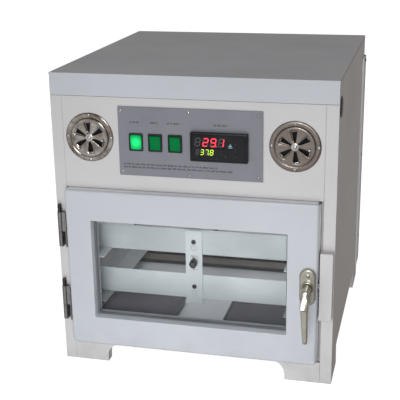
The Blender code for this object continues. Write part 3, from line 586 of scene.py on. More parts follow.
NODE_FINISHES = {
    "panel": ("left_side_panel", "right_side_panel", "front_base_board", "back_panel", "upper_front_panel",
              "striker_block"),
    "cover": ("top_cover",),
    "door": ("door_frame",),
    # The lower rails take the darker liner, not the lighter zinc of the upper rails: painted shade.
    "liner": ("chamber_front_frame", "rack_rail_lower_left", "rack_rail_lower_right"),
    "chamber_floor": ("floor_panel",),
    "baffle": ("rear_baffle",),
    "zinc": ("control_box", "rack_hanger", "rack_upper_front_bar", "rack_rear_frame"),
    # The front plate, lower front bar and upper rails take the lighter copy of the zinc: painted light.
    "zinc_painted_light": ("rack_front_plate", "rack_lower_front_bar", "rack_rail_upper_left", "rack_rail_upper_right"),
    "plate": ("control_plate",),
    "glass": ("door_glass_outer", "door_glass_inner"),
    "bright": ("latch_tongue",),
}
COVER_EDGE = 484.7           # underside of the top cover's front band


def side_plugs():
    """Domed blanking plugs with a stepped rim."""
    dome = [(0.0, 0.2), (17.5, 0.2), (17.6, 0.9), (16.9, 1.5), (16.0, 1.6), (15.6, 2.1), (11.0, 3.1), (5.0, 3.42),
            (0.0, 3.48)]
    for side, sign in (("left", -1.0), ("right", 1.0)):
        low, high = span(f"{side}_side_plug")
        face = span(f"{side}_side_panel")[(sign > 0) * 1][0]
        y, z = (low[1] + high[1]) / 2, (low[2] + high[2]) / 2
        profile = [(radius, sign * along) for radius, along in eased(dome, 1)]
        piece(f"{side}_plug_dome", [turned(profile, "x", (face, y, z), 56)], "gloss_black", "cabinet",
              replaces=(f"{side}_side_plug",))


def cover_seams():
    """Grey strip that paints the shade line under the cover's band and along its sides."""
    low, high = span("top_cover")
    front = block((low[0] + 1.0, -0.3, COVER_EDGE - 0.7), (high[0] - 1.0, 0.8, COVER_EDGE - 0.1), 0.15, "x")
    sides = [
        block((x - 0.25, 3.0, high[2] - 3.3), (x + 0.25, high[1] - 1.0, high[2] - 2.1), 0.1, "y")
        for x in (low[0] + 0.05, high[0] - 0.05)
    ]
    piece("cover_sealing_strip", [front, *sides], "seam", "cabinet")
    # Grey fillers in the gaps beside the upper front panel: painted shade in the seams.
    low, high = span("upper_front_panel")
    left, right = span("left_side_panel")[1][0], span("right_side_panel")[0][0]
    fillers = [block((a, 0.35, low[2] + 0.5), (b, 2.5, high[2] - 0.5), 0.05, "z")
               for a, b in ((left + 0.02, low[0] - 0.02), (high[0] + 0.02, right - 0.02))]
    piece("front_seam_fillers", fillers, "seam", "cabinet")


def jamb_strip():
    """Pale strip down the cabinet's side of the gap beside the door: painted shade in the seam grey, paler than the
    gap's own shade.
    """
    door, stile = span("door_frame"), span("right_side_panel")[0][0]
    strip = block((door[1][0] + 1.6, 3.0, door[0][2] + 1.5), (stile - 0.1, 19.5, door[1][2] - 0.5), 0.4, "x")
    piece("door_jamb_strip", [strip], "seam", "cabinet")


LIP_SPAN = (50.0, 12.1)      # how far before the rear edge the corner lip starts and ends
# where the dark strip of painted shade behind each lip starts and ends
LIP_SHADE_SPAN = (11.9, 0.2)
LIP_SCREWS = ((100.0, 0.6), (280.0, 0.6), (476.0, 2.4))    # height above the floor, and of the head
LIP_BOTTOM = 40.0


def corner_strips():
    """Lip of the back sheet that stands out round each rear corner in the lighter edge finish (painted light), a dark
    strip behind it as painted shade, and its screws.
    """
    low, high = span("left_side_panel")
    depth, lip = high[1], size("corner_lip")
    strips, shade_lines, screws = [], [], []
    for x, sign in ((low[0], -1.0), (-low[0], 1.0)):
        inner, outer = sorted((x + sign * 0.1, x + sign * lip))
        for made, (start, end) in ((strips, LIP_SPAN), (shade_lines, LIP_SHADE_SPAN)):
            made.append(block((inner, depth - start, LIP_BOTTOM), (outer, depth - end, COVER_EDGE - 2.0), 0.4, "x"))
        for z, rise in LIP_SCREWS:
            screws.append(screw_head((outer if sign > 0 else inner, depth - 26.0, z), 3.6, rise, "x", sign, 35.0))
    piece("rear_corner_strips", strips, "edge", "cabinet")
    piece("rear_corner_seals", shade_lines, "rubber", "cabinet")
    piece("rear_corner_screws", screws, "dark_screw", "cabinet")


def back_fittings():
    """Screws round the back panel, and the power inlet with its pins."""
    low, high = span("back_panel")
    screws = [
        screw_head((x, high[1], z), 3.4, 1.4, "y", 1.0, 10.0 * place)
        for place, (x, z) in enumerate(
            [(x, z) for x in (low[0] + 14.0, 0.0, high[0] - 14.0) for z in (low[2] + 14.0, high[2] - 14.0)]
            + [(x, 280.0) for x in (low[0] + 14.0, high[0] - 14.0)]
        )
    ]
    piece("back_panel_screws", screws, "screw", "cabinet")
    low, high = span("power_inlet")
    back, x, z = high[1], (low[0] + high[0]) / 2, (low[2] + high[2]) / 2
    rect = (x - 25.0, x + 25.0, z - 14.0, z + 14.0)
    rim = [(14.0, back - 2.6), (0.0, back - 2.6), (0.0, back - 0.8), (0.9, back)]
    well = [(5.6, back), (6.2, back - 0.5), (6.4, back - 15.0), (14.0, back - 15.0)]
    pins = [block((x + shift - 1.1, back - 14.9, z - 3.2 + lift), (x + shift + 1.1, back - 3.0, z + 3.2 + lift), 0.4)
            for shift, lift in ((-6.8, -1.5), (0.0, 2.0), (6.8, -1.5))]
    heads = [screw_head((x + shift, back - 0.1, z), 2.6, 0.9, "y", 1.0) for shift in (-21.6, 21.6)]
    piece("inlet_housing", [plaque(rect, rim + well, 6.0)], "black", "cabinet",
          replaces=("power_inlet",))
    piece("inlet_pins_and_screws", pins + heads, "screw", "cabinet")


# Control plate

PLATE_SCREWS_X = (-116.5, -2.0, 113.6)
PLATE_SCREWS_Z = ((463.0, 360.0), (463.0, 357.0), (463.0, 360.0))


def plate_screws():
    face = span("control_plate")[0][1]
    heads = []
    for x, heights in zip(PLATE_SCREWS_X, PLATE_SCREWS_Z):
        for place, z in enumerate(heights):
            heads.append(screw_head((x, face, z), size("plate_screw"), 1.3, turn=17.0 * place + x))
    piece("plate_screws", heads, "screw", "cabinet")


def strokes_of(start, end, z, tall, draw):
    """Words of short upright strokes of uneven height, standing for printed captions."""
    strokes, x = [], start
    while x < end:
        for _ in range(draw.integers(4, 11)):
            if x > end:
                break
            wide = draw.uniform(0.45, 0.95)
            strokes.append((x, x + wide, z - tall / 2, z - tall / 2 + tall * draw.uniform(0.6, 1.0)))
            x += wide + 0.35
        x += 1.5
    return strokes


def plate_captions():
    """Printed marks: a caption over each switch and the display, and two rows along the bottom."""
    face = span("control_plate")[0][1]
    draw = np.random.default_rng(11)
    rows, tall = [], size("caption")
    for x, half in ((-93.4, 7.5), (-60.4, 5.5), (-27.2, 10.5), (51.5, 12.0)):
        rows += strokes_of(x - half, x + half, 444.8, tall, draw)
    rows += strokes_of(-114.0, 46.0, 373.4, 0.9 * tall, draw)
    rows += strokes_of(-114.0, 70.5, 368.2, 0.9 * tall, draw)
    marks = [block((a, face - 0.06, c), (b, face + 0.05, d), 0.02, steps=1) for a, b, c, d in rows]
    piece("plate_captions", marks, "ink", "cabinet")


# Instrument

SEGMENTS = {
    # digit: which of the seven strokes are lit, clockwise from the top and the middle last
    " ": (0, 0, 0, 0, 0, 0, 0), "1": (0, 1, 1, 0, 0, 0, 0), "2": (1, 1, 0, 1, 1, 0, 1), "3": (1, 1, 1, 1, 0, 0, 1),
    "7": (1, 1, 1, 0, 0, 0, 0), "8": (1, 1, 1, 1, 1, 1, 1), "9": (1, 1, 1, 1, 0, 1, 1),
}
DIGIT_LEAN = 0.14
PILOT_LAMPS = ((54.5, 403.6), (54.5, 399.0), (26.0, 389.8), (36.0, 389.8), (46.0, 389.8))


def stroke(start, end, half):
    """Six-sided stroke between two points, pointed at both ends."""
    start, end = np.array(start, float), np.array(end, float)
    along = (end - start) / np.linalg.norm(end - start)
    across = np.array([-along[1], along[0]]) * half
    return np.array([start, start + along * half - across, end - along * half - across, end,
                     end - along * half + across, start + along * half + across])


def digit(x, z, wide, tall, half, lit):
    """Strokes of one leaning figure whose lower left corner is at (x, z)."""
    gap = half * 0.25
    left, right, low, mid, high = 0.0, wide, 0.0, tall / 2, tall
    runs = (((left, high), (right, high)), ((right, high), (right, mid)), ((right, mid), (right, low)),
            ((left, low), (right, low)), ((left, mid), (left, low)), ((left, high), (left, mid)),
            ((left, mid), (right, mid)))
    made = []
    for on, (start, end) in zip(lit, runs):
        if on:
            start, end = np.array(start), np.array(end)
            pull = (end - start) / np.linalg.norm(end - start) * gap
            outline = stroke(start + pull, end - pull, half)
            outline[:, 0] += x + outline[:, 1] * DIGIT_LEAN
            outline[:, 1] += z
            made.append(outline)
    return made


def figures(text, x, z, wide, tall, half, pitch):
    """A row's lit strokes, with its points, and its strokes that are not lit."""
    lit, unlit = [], []
    for mark in text:
        if mark == ".":
            dot = np.radians(np.arange(0.0, 360.0, 60.0))
            at = x - pitch + wide + half * 2.1
            lit.append(np.stack([at + half * 1.1 * np.cos(dot), z + half * 1.1 * np.sin(dot)], -1))
            continue
        on = SEGMENTS[mark]
        lit += digit(x, z, wide, tall, half, on)
        unlit += digit(x, z, wide, tall, half, [not stroke for stroke in on])
        x += pitch
    return lit, unlit


def instrument():
    """Bezel, smoked window, two rows of figures, the unit sign and pilot lamps; the four keys are made by
    instrument_keys.
    """
    low, high = span("controller_case")
    face = low[1]
    rect = (low[0], high[0], low[2], high[2])
    rim = [(24.0, -2.6), (0.0, -2.6), (0.0, face + 1.6), (0.5, face + 0.4), (1.6, face), (2.6, face), (3.1, face + 0.7),
           (3.2, face + 1.1), (24.0, face + 1.1)]
    box_low, box_high = (low[0] + 2.6, -2.5, low[2] + 2.6), (high[0] - 2.6, high[1], high[2] - 2.6)
    piece("instrument_bezel", [plaque(rect, rim, 2.2), block(box_low, box_high, 0.8)], "black",
          "cabinet", replaces=("controller_case",))
    low, high = span("controller_window")
    pane = (low[0], high[0] + 7.6, low[2], high[2])
    front = low[1] + 0.1
    film = [(20.0, front + 0.9), (0.0, front + 0.9), (0.0, front + 0.1), (0.15, front), (20.0, front)]
    piece("instrument_window", [plaque(pane, film, 1.2)], "window", "cabinet",
          replaces=("controller_window",))
    rows = (("red", " 29.1", 10.4, 411.6, 7.6, 12.6, 0.80, 13.0),
            ("green", " 37.8", 11.6, 397.2, 4.6, 8.4, 0.62, 7.9))
    dull = []
    for key, *row in rows:
        strokes, unlit = figures(*row)
        piece(f"display_{key}_figures", [outline_slab(line, front - 0.06, front + 0.1) for line in strokes],
              f"figures_{key}", "cabinet")
        dull += unlit
    piece("display_unlit_figures", [outline_slab(line, front - 0.05, front + 0.1) for line in dull],
          "ghost", "cabinet")
    sign = [np.array([(65.0, 411.6), (72.6, 411.6), (70.2, 414.4), (69.6, 417.2), (67.8, 414.9)]),
            np.array([(65.4, 409.6), (72.4, 409.6), (72.4, 410.5), (65.4, 410.5)])]
    piece("display_unit_sign", [outline_slab(line, front - 0.05, front + 0.1) for line in sign], "figures_blue",
          "cabinet")
    disc = [(0.0, front - 0.08), (0.5, front - 0.08), (0.5, front + 0.1), (0.0, front + 0.1)]
    dots = [turned(disc, "y", (x, 0.0, z), 12) for x, z in PILOT_LAMPS]
    piece("display_pilot_dots", dots, "ghost", "cabinet")


def instrument_keys():
    """Round keys with a dished top and a marker bar."""
    for number in (1, 2, 3, 4):
        low, high = span(f"controller_key_{number}")
        x, z, front = (low[0] + high[0]) / 2, (low[2] + high[2]) / 2, low[1]
        dish = [(0.0, front + 0.35), (1.2, front + 0.25), (1.9, front), (2.35, front + 0.25), (2.45, front + 0.8),
                (2.45, high[1]), (0.0, high[1])]
        mark = block((x - 1.0, front + 0.15, z - 0.2), (x + 1.0, front + 0.5, z + 0.2), 0.1)
        piece(f"key_cap_{number}", [turned(dish, "y", (x, 0.0, z), 28), mark], "black",
              f"key_{number}", replaces=(f"controller_key_{number}",))


# Switches

ROCKER_REST = 6.0            # degrees that the rockers lean at rest


def switches():
    """Flanged housings, and rockers whose face is a shallow valley with rounded ends."""
    for side in ("left", "middle", "right"):
        low, high = span(f"switch_bezel_{side}")
        rect, face = (low[0], high[0], low[2], high[2]), low[1]
        ring = [(0.0, face + 2.0), (0.0, face + 0.8), (0.35, face + 0.2), (1.0, face), (2.0, face), (2.5, face + 0.4),
                (2.6, face + 1.0), (2.6, 13.0), (1.4, 13.0), (1.4, face + 2.0)]
        back = block((low[0] + 1.5, 12.8, low[2] + 1.5), (high[0] - 1.5, high[1], high[2] - 1.5), 0.5)
        tabs = [block((low[0] + 8.0, high[1] - 0.2, z - 0.4), (low[0] + 12.0, high[1] + 0.0, z + 0.4), 0.1)
                for z in (low[2] + 9.0, high[2] - 9.0)]
        piece(f"switch_housing_{side}", [plaque(rect, ring, 2.0, looped=True), back, *tabs], "black",
              "cabinet", replaces=(f"switch_bezel_{side}",))
        rocker(side)


def rocker(side):
    """Face height -5.6 - 0.9 (s/12)^2 along the rocker, turned by its lean about the pivot."""
    low, high = span(f"switch_rocker_{side}")
    x, z = (low[0] + high[0]) / 2, middle(f"switch_bezel_{side}")[2]
    along = np.linspace(-12.0, 12.0, 17)
    across = np.array([-9.0, -8.9, -8.5, -4.0, 0.0, 4.0, 8.5, 8.9, 9.0])
    edge = np.interp(np.abs(across), [0.0, 8.5, 8.9, 9.0], [0.0, 0.0, 0.25, 0.7])[None, :]
    end = np.interp(np.abs(along), [0.0, 11.4, 12.0], [0.0, 0.0, 0.6])[:, None]
    valley = (-5.6 - 0.9 * (along / 12.0) ** 2)[:, None]
    ridge = -0.35 * np.exp(-((np.abs(along) - 9.2) / 0.5) ** 2)[:, None] * (np.abs(across) < 6.0)[None, :]
    top = valley + edge + end + ridge
    bottom = (7.0 - 0.05 * along**2)[:, None] * np.ones_like(top)
    y = np.concatenate([top, bottom[:, ::-1]], 1)
    s = np.broadcast_to(along[:, None], y.shape)
    wide = np.broadcast_to(np.concatenate([across, across[::-1]])[None, :], y.shape)
    lean = math.radians(ROCKER_REST)
    rings = np.stack([x + wide, 1.0 + y * math.cos(lean) - s * math.sin(lean),
                      z + y * math.sin(lean) + s * math.cos(lean)], -1)
    piece(f"rocker_face_{side}", [lofted(rings)], f"rocker_{side}", f"rocker_{side}",
          replaces=(f"switch_rocker_{side}",))


# Vents

VENT_SLOT = (7.5, 26.0, 1.9, 5.7)            # inner, outer radius; inner, outer half width
SLOT_STEP = 60.0
DAMPER_LEAN = 6.0
KNOB_AT = (23.5, -10.0)                      # radius and angle from the vent's centre
DAMPER_DOT_AT = (25.7, 175.0)
RIM_SCREWS_RADIUS = 37.8


def beside(centre, radius, degrees, y=0.0):
    """Point at a radius and an angle from a centre, seen from the front."""
    angle = math.radians(degrees)
    return centre[0] + radius * math.cos(angle), y, centre[2] + radius * math.sin(angle)


def slot_angles(radius, slot, columns, turn):
    """Column angles at each radius: they lean so that they follow the slots' straight sides.

    Beside a slot the half angle is asin(w(r)/r), with w straight from the inner half width
    to the outer; nearer and farther it stays what it is at the slot's ends.
    """
    inner, outer, inner_half, outer_half = slot
    held = np.clip(radius, inner, outer)
    half = np.interp(held, [inner, outer], [inner_half, outer_half])
    lean = np.degrees(np.arcsin(half / held))[:, None]
    open_cols = np.linspace(-1.0, 1.0, columns[0] + 1)[None, :-1] * lean
    rib = lean + np.linspace(0.0, 1.0, columns[1] + 1)[None, :-1] * (SLOT_STEP - 2 * lean)
    sector = np.concatenate([open_cols, rib], 1)
    starts = 30.0 + turn + SLOT_STEP * np.arange(6)
    return np.radians((sector[:, None, :] + starts[None, :, None]).reshape(len(radius), -1))


def slotted_disc(centre, profile, slot, turn, columns=(4, 9)):
    """Sheet disc from a (radius, y) profile on a polar grid, its faces inside the slots left out."""
    radius, height = np.array(profile, float).T
    angle = slot_angles(radius, slot, columns, turn)
    x = centre[0] + radius[:, None] * np.cos(angle)
    z = centre[2] + radius[:, None] * np.sin(angle)
    y = np.broadcast_to(height[:, None], x.shape)
    points, faces = grid(np.stack([x, y, z], -1))
    faces = faces.reshape(len(radius) - 1, -1, 4)
    ring_open = (radius[:-1] >= slot[0] - 1e-6) & (radius[1:] <= slot[1] + 1e-6)
    per_sector = sum(columns)
    column_open = (np.arange(6 * per_sector) % per_sector) < columns[0]
    kept = ~(ring_open[:, None] & column_open[None, :])
    return points, faces[kept]


def tab(centre, angle, outer, half, reach, drop, y):
    """Flap bent back from a slot's outer end: it falls by drop times v squared over its reach."""
    v, u = np.meshgrid(np.linspace(0.0, 1.0, 5), np.linspace(-1.0, 1.0, 5), indexing="ij")
    radius = outer - reach * v
    across = u * half * (1.0 - 0.18 * v)
    c, s = math.cos(math.radians(angle)), math.sin(math.radians(angle))
    x = centre[0] + radius * c - across * s
    z = centre[2] + radius * s + across * c
    points, faces = grid(np.stack([x, y + drop * v**2 + 0.3 * v, z], -1), around=False)
    return points, faces


def vent(side, look):
    """Base plate with a raised rim step, turning damper with bent tabs, rivet, knob and screws."""
    centre = middle(f"vent_plate_{side}")
    centre[1] = 0.0
    radius = span(f"vent_plate_{side}")[1][0] - centre[0]
    rim = (span(f"vent_damper_{side}")[1] - middle(f"vent_damper_{side}"))[0]
    inner, outer = VENT_SLOT[:2]
    plain = [(0.01, -1.0), (4.0, -1.0), (inner, -1.0), (12.0, -1.0), (18.0, -1.0), (22.0, -1.0), (outer, -1.0),
             (29.5, -1.0), (33.0, -1.05), (33.8, -1.3), (34.3, -1.7), (35.0, -1.8), (38.0, -1.75), (39.8, -1.6),
             (40.9, -1.2), (radius, -0.4)]
    piece(f"vent_base_{side}", [slotted_disc(centre, plain, VENT_SLOT, 0.0)], look, "cabinet",
          replaces=(f"vent_plate_{side}",), closed=False, wall=0.35)
    dome = [(0.01, -3.3), (4.0, -3.25), (inner, -3.1), (12.0, -2.9), (18.0, -2.75), (22.0, -2.7), (outer, -2.7),
            (29.0, -2.75), (30.6, -2.85), (31.6, -2.7), (32.3, -2.2), (rim, -1.7)]
    tabs = [tab(centre, 30.0 + SLOT_STEP * n + DAMPER_LEAN, outer + 3.0, 5.0, 4.6, 0.55, -3.05) for n in range(6)]
    piece(f"damper_disc_{side}", [slotted_disc(centre, dome, VENT_SLOT, DAMPER_LEAN)], look,
          f"damper_{side}", replaces=(f"vent_damper_{side}",), closed=False, wall=0.4)
    piece(f"damper_tabs_{side}", tabs, "screw", f"damper_{side}", closed=False, wall=0.3)
    knob = eased([(0.0, -7.0), (1.7, -6.9), (2.4, -5.8), (1.5, -4.6), (1.4, -3.4), (2.6, -2.8), (2.6, -2.5),
                  (0.0, -2.5)], 1)
    bump = [(0.0, -3.7), (0.9, -3.5), (1.3, -2.9), (1.3, -2.6), (0.0, -2.6)]
    knobs = [turned(knob, "y", beside(centre, *KNOB_AT), 24), turned(bump, "y", beside(centre, *DAMPER_DOT_AT), 16)]
    piece(f"damper_knob_{side}", knobs, "screw", f"damper_{side}")
    rivet = eased([(0.0, -5.3), (2.4, -5.0), (3.4, -4.2), (3.4, -3.9), (4.0, -3.9), (5.6, -3.75), (6.4, -3.4),
                   (6.4, -3.3), (2.2, -3.3), (2.2, -1.0), (0.0, -1.0)], 1)
    screws = [screw_head(beside(centre, RIM_SCREWS_RADIUS, t, -1.72), 2.5, 1.2, turn=25.0 + 40.0 * math.radians(t))
              for t in (0.0, 90.0, 180.0, 270.0)]
    piece(f"vent_rivet_{side}", [turned(rivet, "y", centre, 32)], "screw", "cabinet")
    gauze = [(0.0, 0.6), (outer + 1.0, 0.6), (outer + 1.0, 1.4), (0.0, 1.4)]
    piece(f"vent_gauze_{side}", [turned(gauze, "y", centre, 48)], "mesh", "cabinet")
    piece(f"vent_screws_{side}", screws, "screw", "cabinet")


# Door


PANE_EDGE = 5.7              # how far the panes reach into the frame


def window_rect():
    """The door's clear opening, from the front."""
    return grown(front_rect("door_glass_outer"), -PANE_EDGE)


def door_skin():
    """Door shell: a closed section carried from the outer edge, over rolled edges, to the window.

    Each station is a rectangle, its corner radius and a depth; the panes sit in two grooves.
    """
    outer, window = front_rect("door_frame"), window_rect()
    front, back = (corner[1] for corner in span("door_frame"))
    roll, groove = size("door_roll"), grown(window, PANE_EDGE + 0.4)
    quarter = np.radians(np.linspace(0.0, 90.0, 5))
    stations = [(grown(outer, -roll - 0.8), 2.0, front)]
    stations += [(grown(outer, roll * (np.cos(t) - 1)), 2.0 + roll * np.cos(t), front + roll * (1 - np.sin(t)))
                 for t in quarter[::-1]]
    stations += [(outer, 2.0 + roll, front + roll + 1.0), (outer, 2.0 + roll, back - 1.2),
                 (grown(outer, -0.5), 5.0, back - 0.2), (grown(outer, -1.0), 4.5, back),
                 (grown(window, 2.0), 3.0, back), (window, 1.0, back)]
    for pane in ("inner", "outer"):
        near, far = span(f"door_glass_{pane}")[0][1] - 0.3, span(f"door_glass_{pane}")[1][1] + 0.3
        stations += [(window, 1.0, far), (groove, 1.0, far), (groove, 1.0, near), (window, 1.0, near)]
    stations += [(window, 1.0, front + 0.9), (grown(window, 0.25), 1.2, front + 0.25), (grown(window, 0.9), 1.5, front),
                 (grown(window, 1.8), 2.0, front)]
    rings = []
    for rect, radius, y in stations:
        flat = round_rect(rect, radius)
        rings.append(np.stack([flat[:, 0], np.full(len(flat), y), flat[:, 1]], -1))
    piece("door_shell", [grid(np.array(rings), looped=True)], "door", "door",
          replaces=("door_frame",), smooth=32.0)
    # Bands of the lighter edge finish over the door's right and top faces, and lips in the gap beside the striker:
    # painted light on faces that the lamps leave in shade.
    tongue = span("latch_tongue")
    runs = ((outer[2] + 3.0, tongue[0][2] - 2.0), (tongue[1][2] + 2.0, outer[3] - 3.0))
    near, far = front + roll + 0.8, back - 1.5
    bands = [block((outer[1] - 0.05, near, a), (outer[1] + 0.25, far, b), 0.1, "x") for a, b in runs]
    bands.append(block((outer[0] + 3.0, near, outer[3] - 0.05), (outer[1] - 3.0, far, outer[3] + 0.25), 0.1, "z"))
    striker = span("striker_block")
    runs = ((outer[2] + 3.0, striker[0][2] - 1.0), (striker[1][2] + 1.0, outer[3] - 3.0))
    bands += [block((outer[1] - 0.05, 0.5, a), (outer[1] + 1.1, 2.5, b), 0.1, "x") for a, b in runs]
    piece("door_edge_bands", bands, "edge", "door")


def door_glazing():
    """Rubber gasket in the window's reveal, a bead round the inner pane, and the lip seal."""
    rect, front = window_rect(), span("door_glass_outer")[0][1]
    gasket = [(0.15, front - 0.1), (0.15, front - 2.3), (0.8, front - 3.0), (2.0, front - 2.8), (3.2, front - 1.2),
              (3.6, front - 0.1)]
    piece("window_gasket", [plaque(rect, gasket, 1.0, looped=True)], "gasket", "door")
    back = span("door_glass_inner")[1][1]
    bead = [(-4.5, back + 0.15), (-4.5, back + 1.6), (1.0, back + 1.6), (2.2, back + 0.9), (2.4, back + 0.15)]
    piece("window_bead", [plaque(rect, bead, 1.0, looped=True)], "zinc", "door")
    seat, lip = (corner[1] for corner in span("door_seal"))
    lips = [(0.0, seat), (0.0, seat + 1.4), (1.6, lip - 0.7), (3.2, lip), (4.6, lip - 0.7), (5.4, seat + 1.8),
            (6.2, lip - 0.9), (7.6, lip - 0.1), (9.2, lip - 0.9), (10.9, seat + 1.2), (10.9, seat)]
    piece("door_lip_seal", [plaque(front_rect("door_seal"), eased(lips, 1), 8.0, looped=True)], "rubber", "door",
          replaces=("door_seal",))


def rosette():
    """Oval back plate with a rolled edge, a collar round the neck, and two screws."""
    low, high = span("handle_rosette")
    rect, back, face = front_rect("handle_rosette"), high[1], low[1]
    half = (high[0] - low[0]) / 2
    edge = eased([(0.0, back), (0.0, face + 3.2), (0.9, face + 1.2), (2.6, face + 0.3), (6.0, face),
                  (half, face - 0.15)], 1)
    x = (low[0] + high[0]) / 2
    screws = [screw_head((x, face + 0.15, z), 3.6, 1.3, turn=t) for z, t in ((203.5, 40.0), (162.5, 10.0))]
    z = middle("latch_tongue")[2]
    collar = [(11.0, face + 0.6), (11.0, face - 0.9), (10.2, face - 2.2), (8.6, face - 2.6), (8.6, face + 0.6)]
    piece("handle_back_plate", [plaque(rect, [(half, back), *edge], 13.6, steps=10)], "alloy",
          "door", replaces=("handle_rosette",))
    piece("handle_collar", [turned(eased(collar, 1), "y", (x, 0.0, z), 48, looped=True)], "alloy", "door")
    piece("handle_screws", screws, "screw", "door")


def lever():
    """Neck that swells into an elbow with a flat brow, and a grip that tapers to its tip."""
    x, z, front = middle("handle_rosette")[0], middle("latch_tongue")[2], span("handle_lever")[0][1]
    neck = eased([(0.0, front + 9.0), (6.2, front + 9.4), (6.6, front + 16.0), (6.9, front + 27.0), (7.8, -24.5),
                  (8.1, -22.0), (8.1, -15.0), (5.0, -15.0), (5.0, -9.7), (0.0, -9.7)], 1)
    stations = np.array([
        # height, middle x, half width, front y, back y, squareness, lean of the front face to the right
        (190.6, 0.0, 2.6, front + 11.6, front + 13.6, 2.4, 0.0), (189.7, 0.0, 4.8, front + 10.4, front + 14.6, 2.6, 0.0),
        (187.8, 0.0, 6.0, front + 9.4, front + 15.0, 2.4, 0.0), (183.0, 0.0, 6.6, front + 8.0, front + 15.0, 2.2, 0.0),
        (178.4, 0.0, 6.6, front + 6.8, front + 14.6, 2.4, 0.04), (177.0, 0.0, 6.7, front + 6.0, front + 14.2, 5.0, 0.14),
        (161.6, 0.1, 6.8, front + 0.5, front + 12.6, 6.0, 0.14), (160.4, 0.2, 6.6, front + 0.9, front + 12.0, 4.6, 0.06),
        (158.6, 0.3, 6.2, front + 2.0, front + 11.4, 4.2, 0.0), (145.0, 0.8, 5.7, front + 1.9, front + 10.4, 3.8, 0.0),
        (125.0, 1.6, 5.0, front + 1.8, front + 9.6, 3.6, 0.0), (108.0, 2.2, 4.3, front + 2.0, front + 9.0, 3.4, 0.0),
        (102.0, 2.4, 3.9, front + 2.3, front + 8.6, 3.0, 0.0), (100.4, 2.5, 2.9, front + 3.2, front + 7.8, 2.6, 0.0),
        (100.0, 2.5, 1.2, front + 4.8, front + 6.4, 2.2, 0.0),
    ])
    height, shift, half, near, far, power, lean = stations.T
    turn = np.linspace(0.0, 2 * np.pi, 40, endpoint=False)[None, :]
    c, d = squared(turn, power[:, None])
    across = half[:, None] * c
    depth = ((near + far) / 2)[:, None] + (far - near)[:, None] / 2 * d + lean[:, None] * across * np.maximum(-d, 0.0)
    rings = np.stack([(x + shift)[:, None] + across, depth, np.broadcast_to(height[:, None], c.shape)], -1)
    piece("lever_grip", [lofted(rings), turned(neck, "y", (x, 0.0, z), 40)], "alloy", "handle",
          replaces=("handle_lever",), smooth=28.0)


HINGE_PIN = (-232.5, -7.0)
HINGE_SPLIT = 27.0           # height of the split above the leaf's bottom


def hinges():
    """Loose-pin hinges: barrels with rounded lips, capped pins, leaves and their screws."""
    x, y = HINGE_PIN
    for side in ("upper", "lower"):
        low, high = span(f"hinge_{side}_cabinet_half")
        leaf_high = span(f"hinge_{side}_door_half")[1]
        bottom, top = low[2], leaf_high[2]
        split = bottom + HINGE_SPLIT
        barrel = [(0.0, bottom), (3.7, bottom), (4.5, bottom + 0.8), (4.5, split - 0.5), (4.1, split), (0.0, split)]
        tip = top + size("hinge_cap")
        cap = eased([(0.0, tip), (2.0, tip - 0.4), (3.2, tip - 3.0), (3.4, top + 6.0), (2.9, top + 3.4),
                     (3.3, top + 2.4), (3.3, top + 0.9), (2.0, top + 0.8), (2.0, split - 1.0), (0.0, split - 1.0)], 1)
        leaf = block((low[0], -2.2, bottom), (high[0], -0.3, top), 0.5)
        web = block((x - 4.0, y, bottom + 0.3), (x + 2.5, -1.5, split - 0.3), 0.4)
        screws = [screw_head((low[0] + 2.6, -2.1, z), 1.9, 0.7, turn=z) for z in (bottom + 36.0, bottom + 56.0)]
        centre = (x, y, 0.0)
        piece(f"hinge_{side}_fixed_leaf", [leaf, web, turned(barrel, "z", centre, 32)], "hinge",
              "cabinet", replaces=(f"hinge_{side}_cabinet_half",))
        piece(f"hinge_{side}_pin", [turned(cap, "z", centre, 28)], "dark_screw", "cabinet")
        piece(f"hinge_{side}_leaf_screws", screws, "screw", "cabinet")
        sleeve = [(2.4, split + 0.3), (4.1, split + 0.3), (4.5, split + 0.8), (4.5, top - 0.6), (4.0, top), (2.4, top)]
        bridge = block((x + 3.2, -9.2, split + 0.6), (leaf_high[0] - 1.0, -5.0, top - 0.3), 0.4)
        door_leaf = block((leaf_high[0] - 2.0, -13.0, bottom), (leaf_high[0], -2.5, top), 0.45, "x")
        piece(f"hinge_{side}_door_leaf", [turned(sleeve, "z", centre, 32, looped=True), bridge, door_leaf],
              "hinge", "door", replaces=(f"hinge_{side}_door_half",))


# Chamber


def water_pans():
    """Shallow pans with sloping walls, a rolled rim and a set-down lid with two stiffening ribs."""
    for side in ("left", "right"):
        low, high = span(f"water_pan_{side}")
        rect, floor, top = (low[0], high[0], low[1], high[1]), low[2], high[2]
        half = (high[1] - low[1]) / 2
        profile = [(half, floor), (3.4, floor), (2.4, floor + 0.8), (1.0, top - 2.4), (0.3, top - 2.2),
                   (0.0, top - 1.2), (0.4, top - 0.2), (1.4, top), (3.4, top), (4.2, top - 0.5), (4.8, top - 1.8),
                   (6.0, top - 2.4), (half, top - 2.6)]
        ribs = [block((rect[0] + 9.0, y - 0.8, top - 3.2), (rect[1] - 9.0, y + 0.8, top - 2.3), 0.35, "z")
                for y in (rect[2] + 12.0, rect[3] - 12.0)]
        piece(f"water_pan_shell_{side}", [plaque(rect, profile, 7.0, "z", steps=8), *ribs], "pan",
              "cabinet", replaces=(f"water_pan_{side}",))


RACK_BOLTS = (215.0, 130.0)


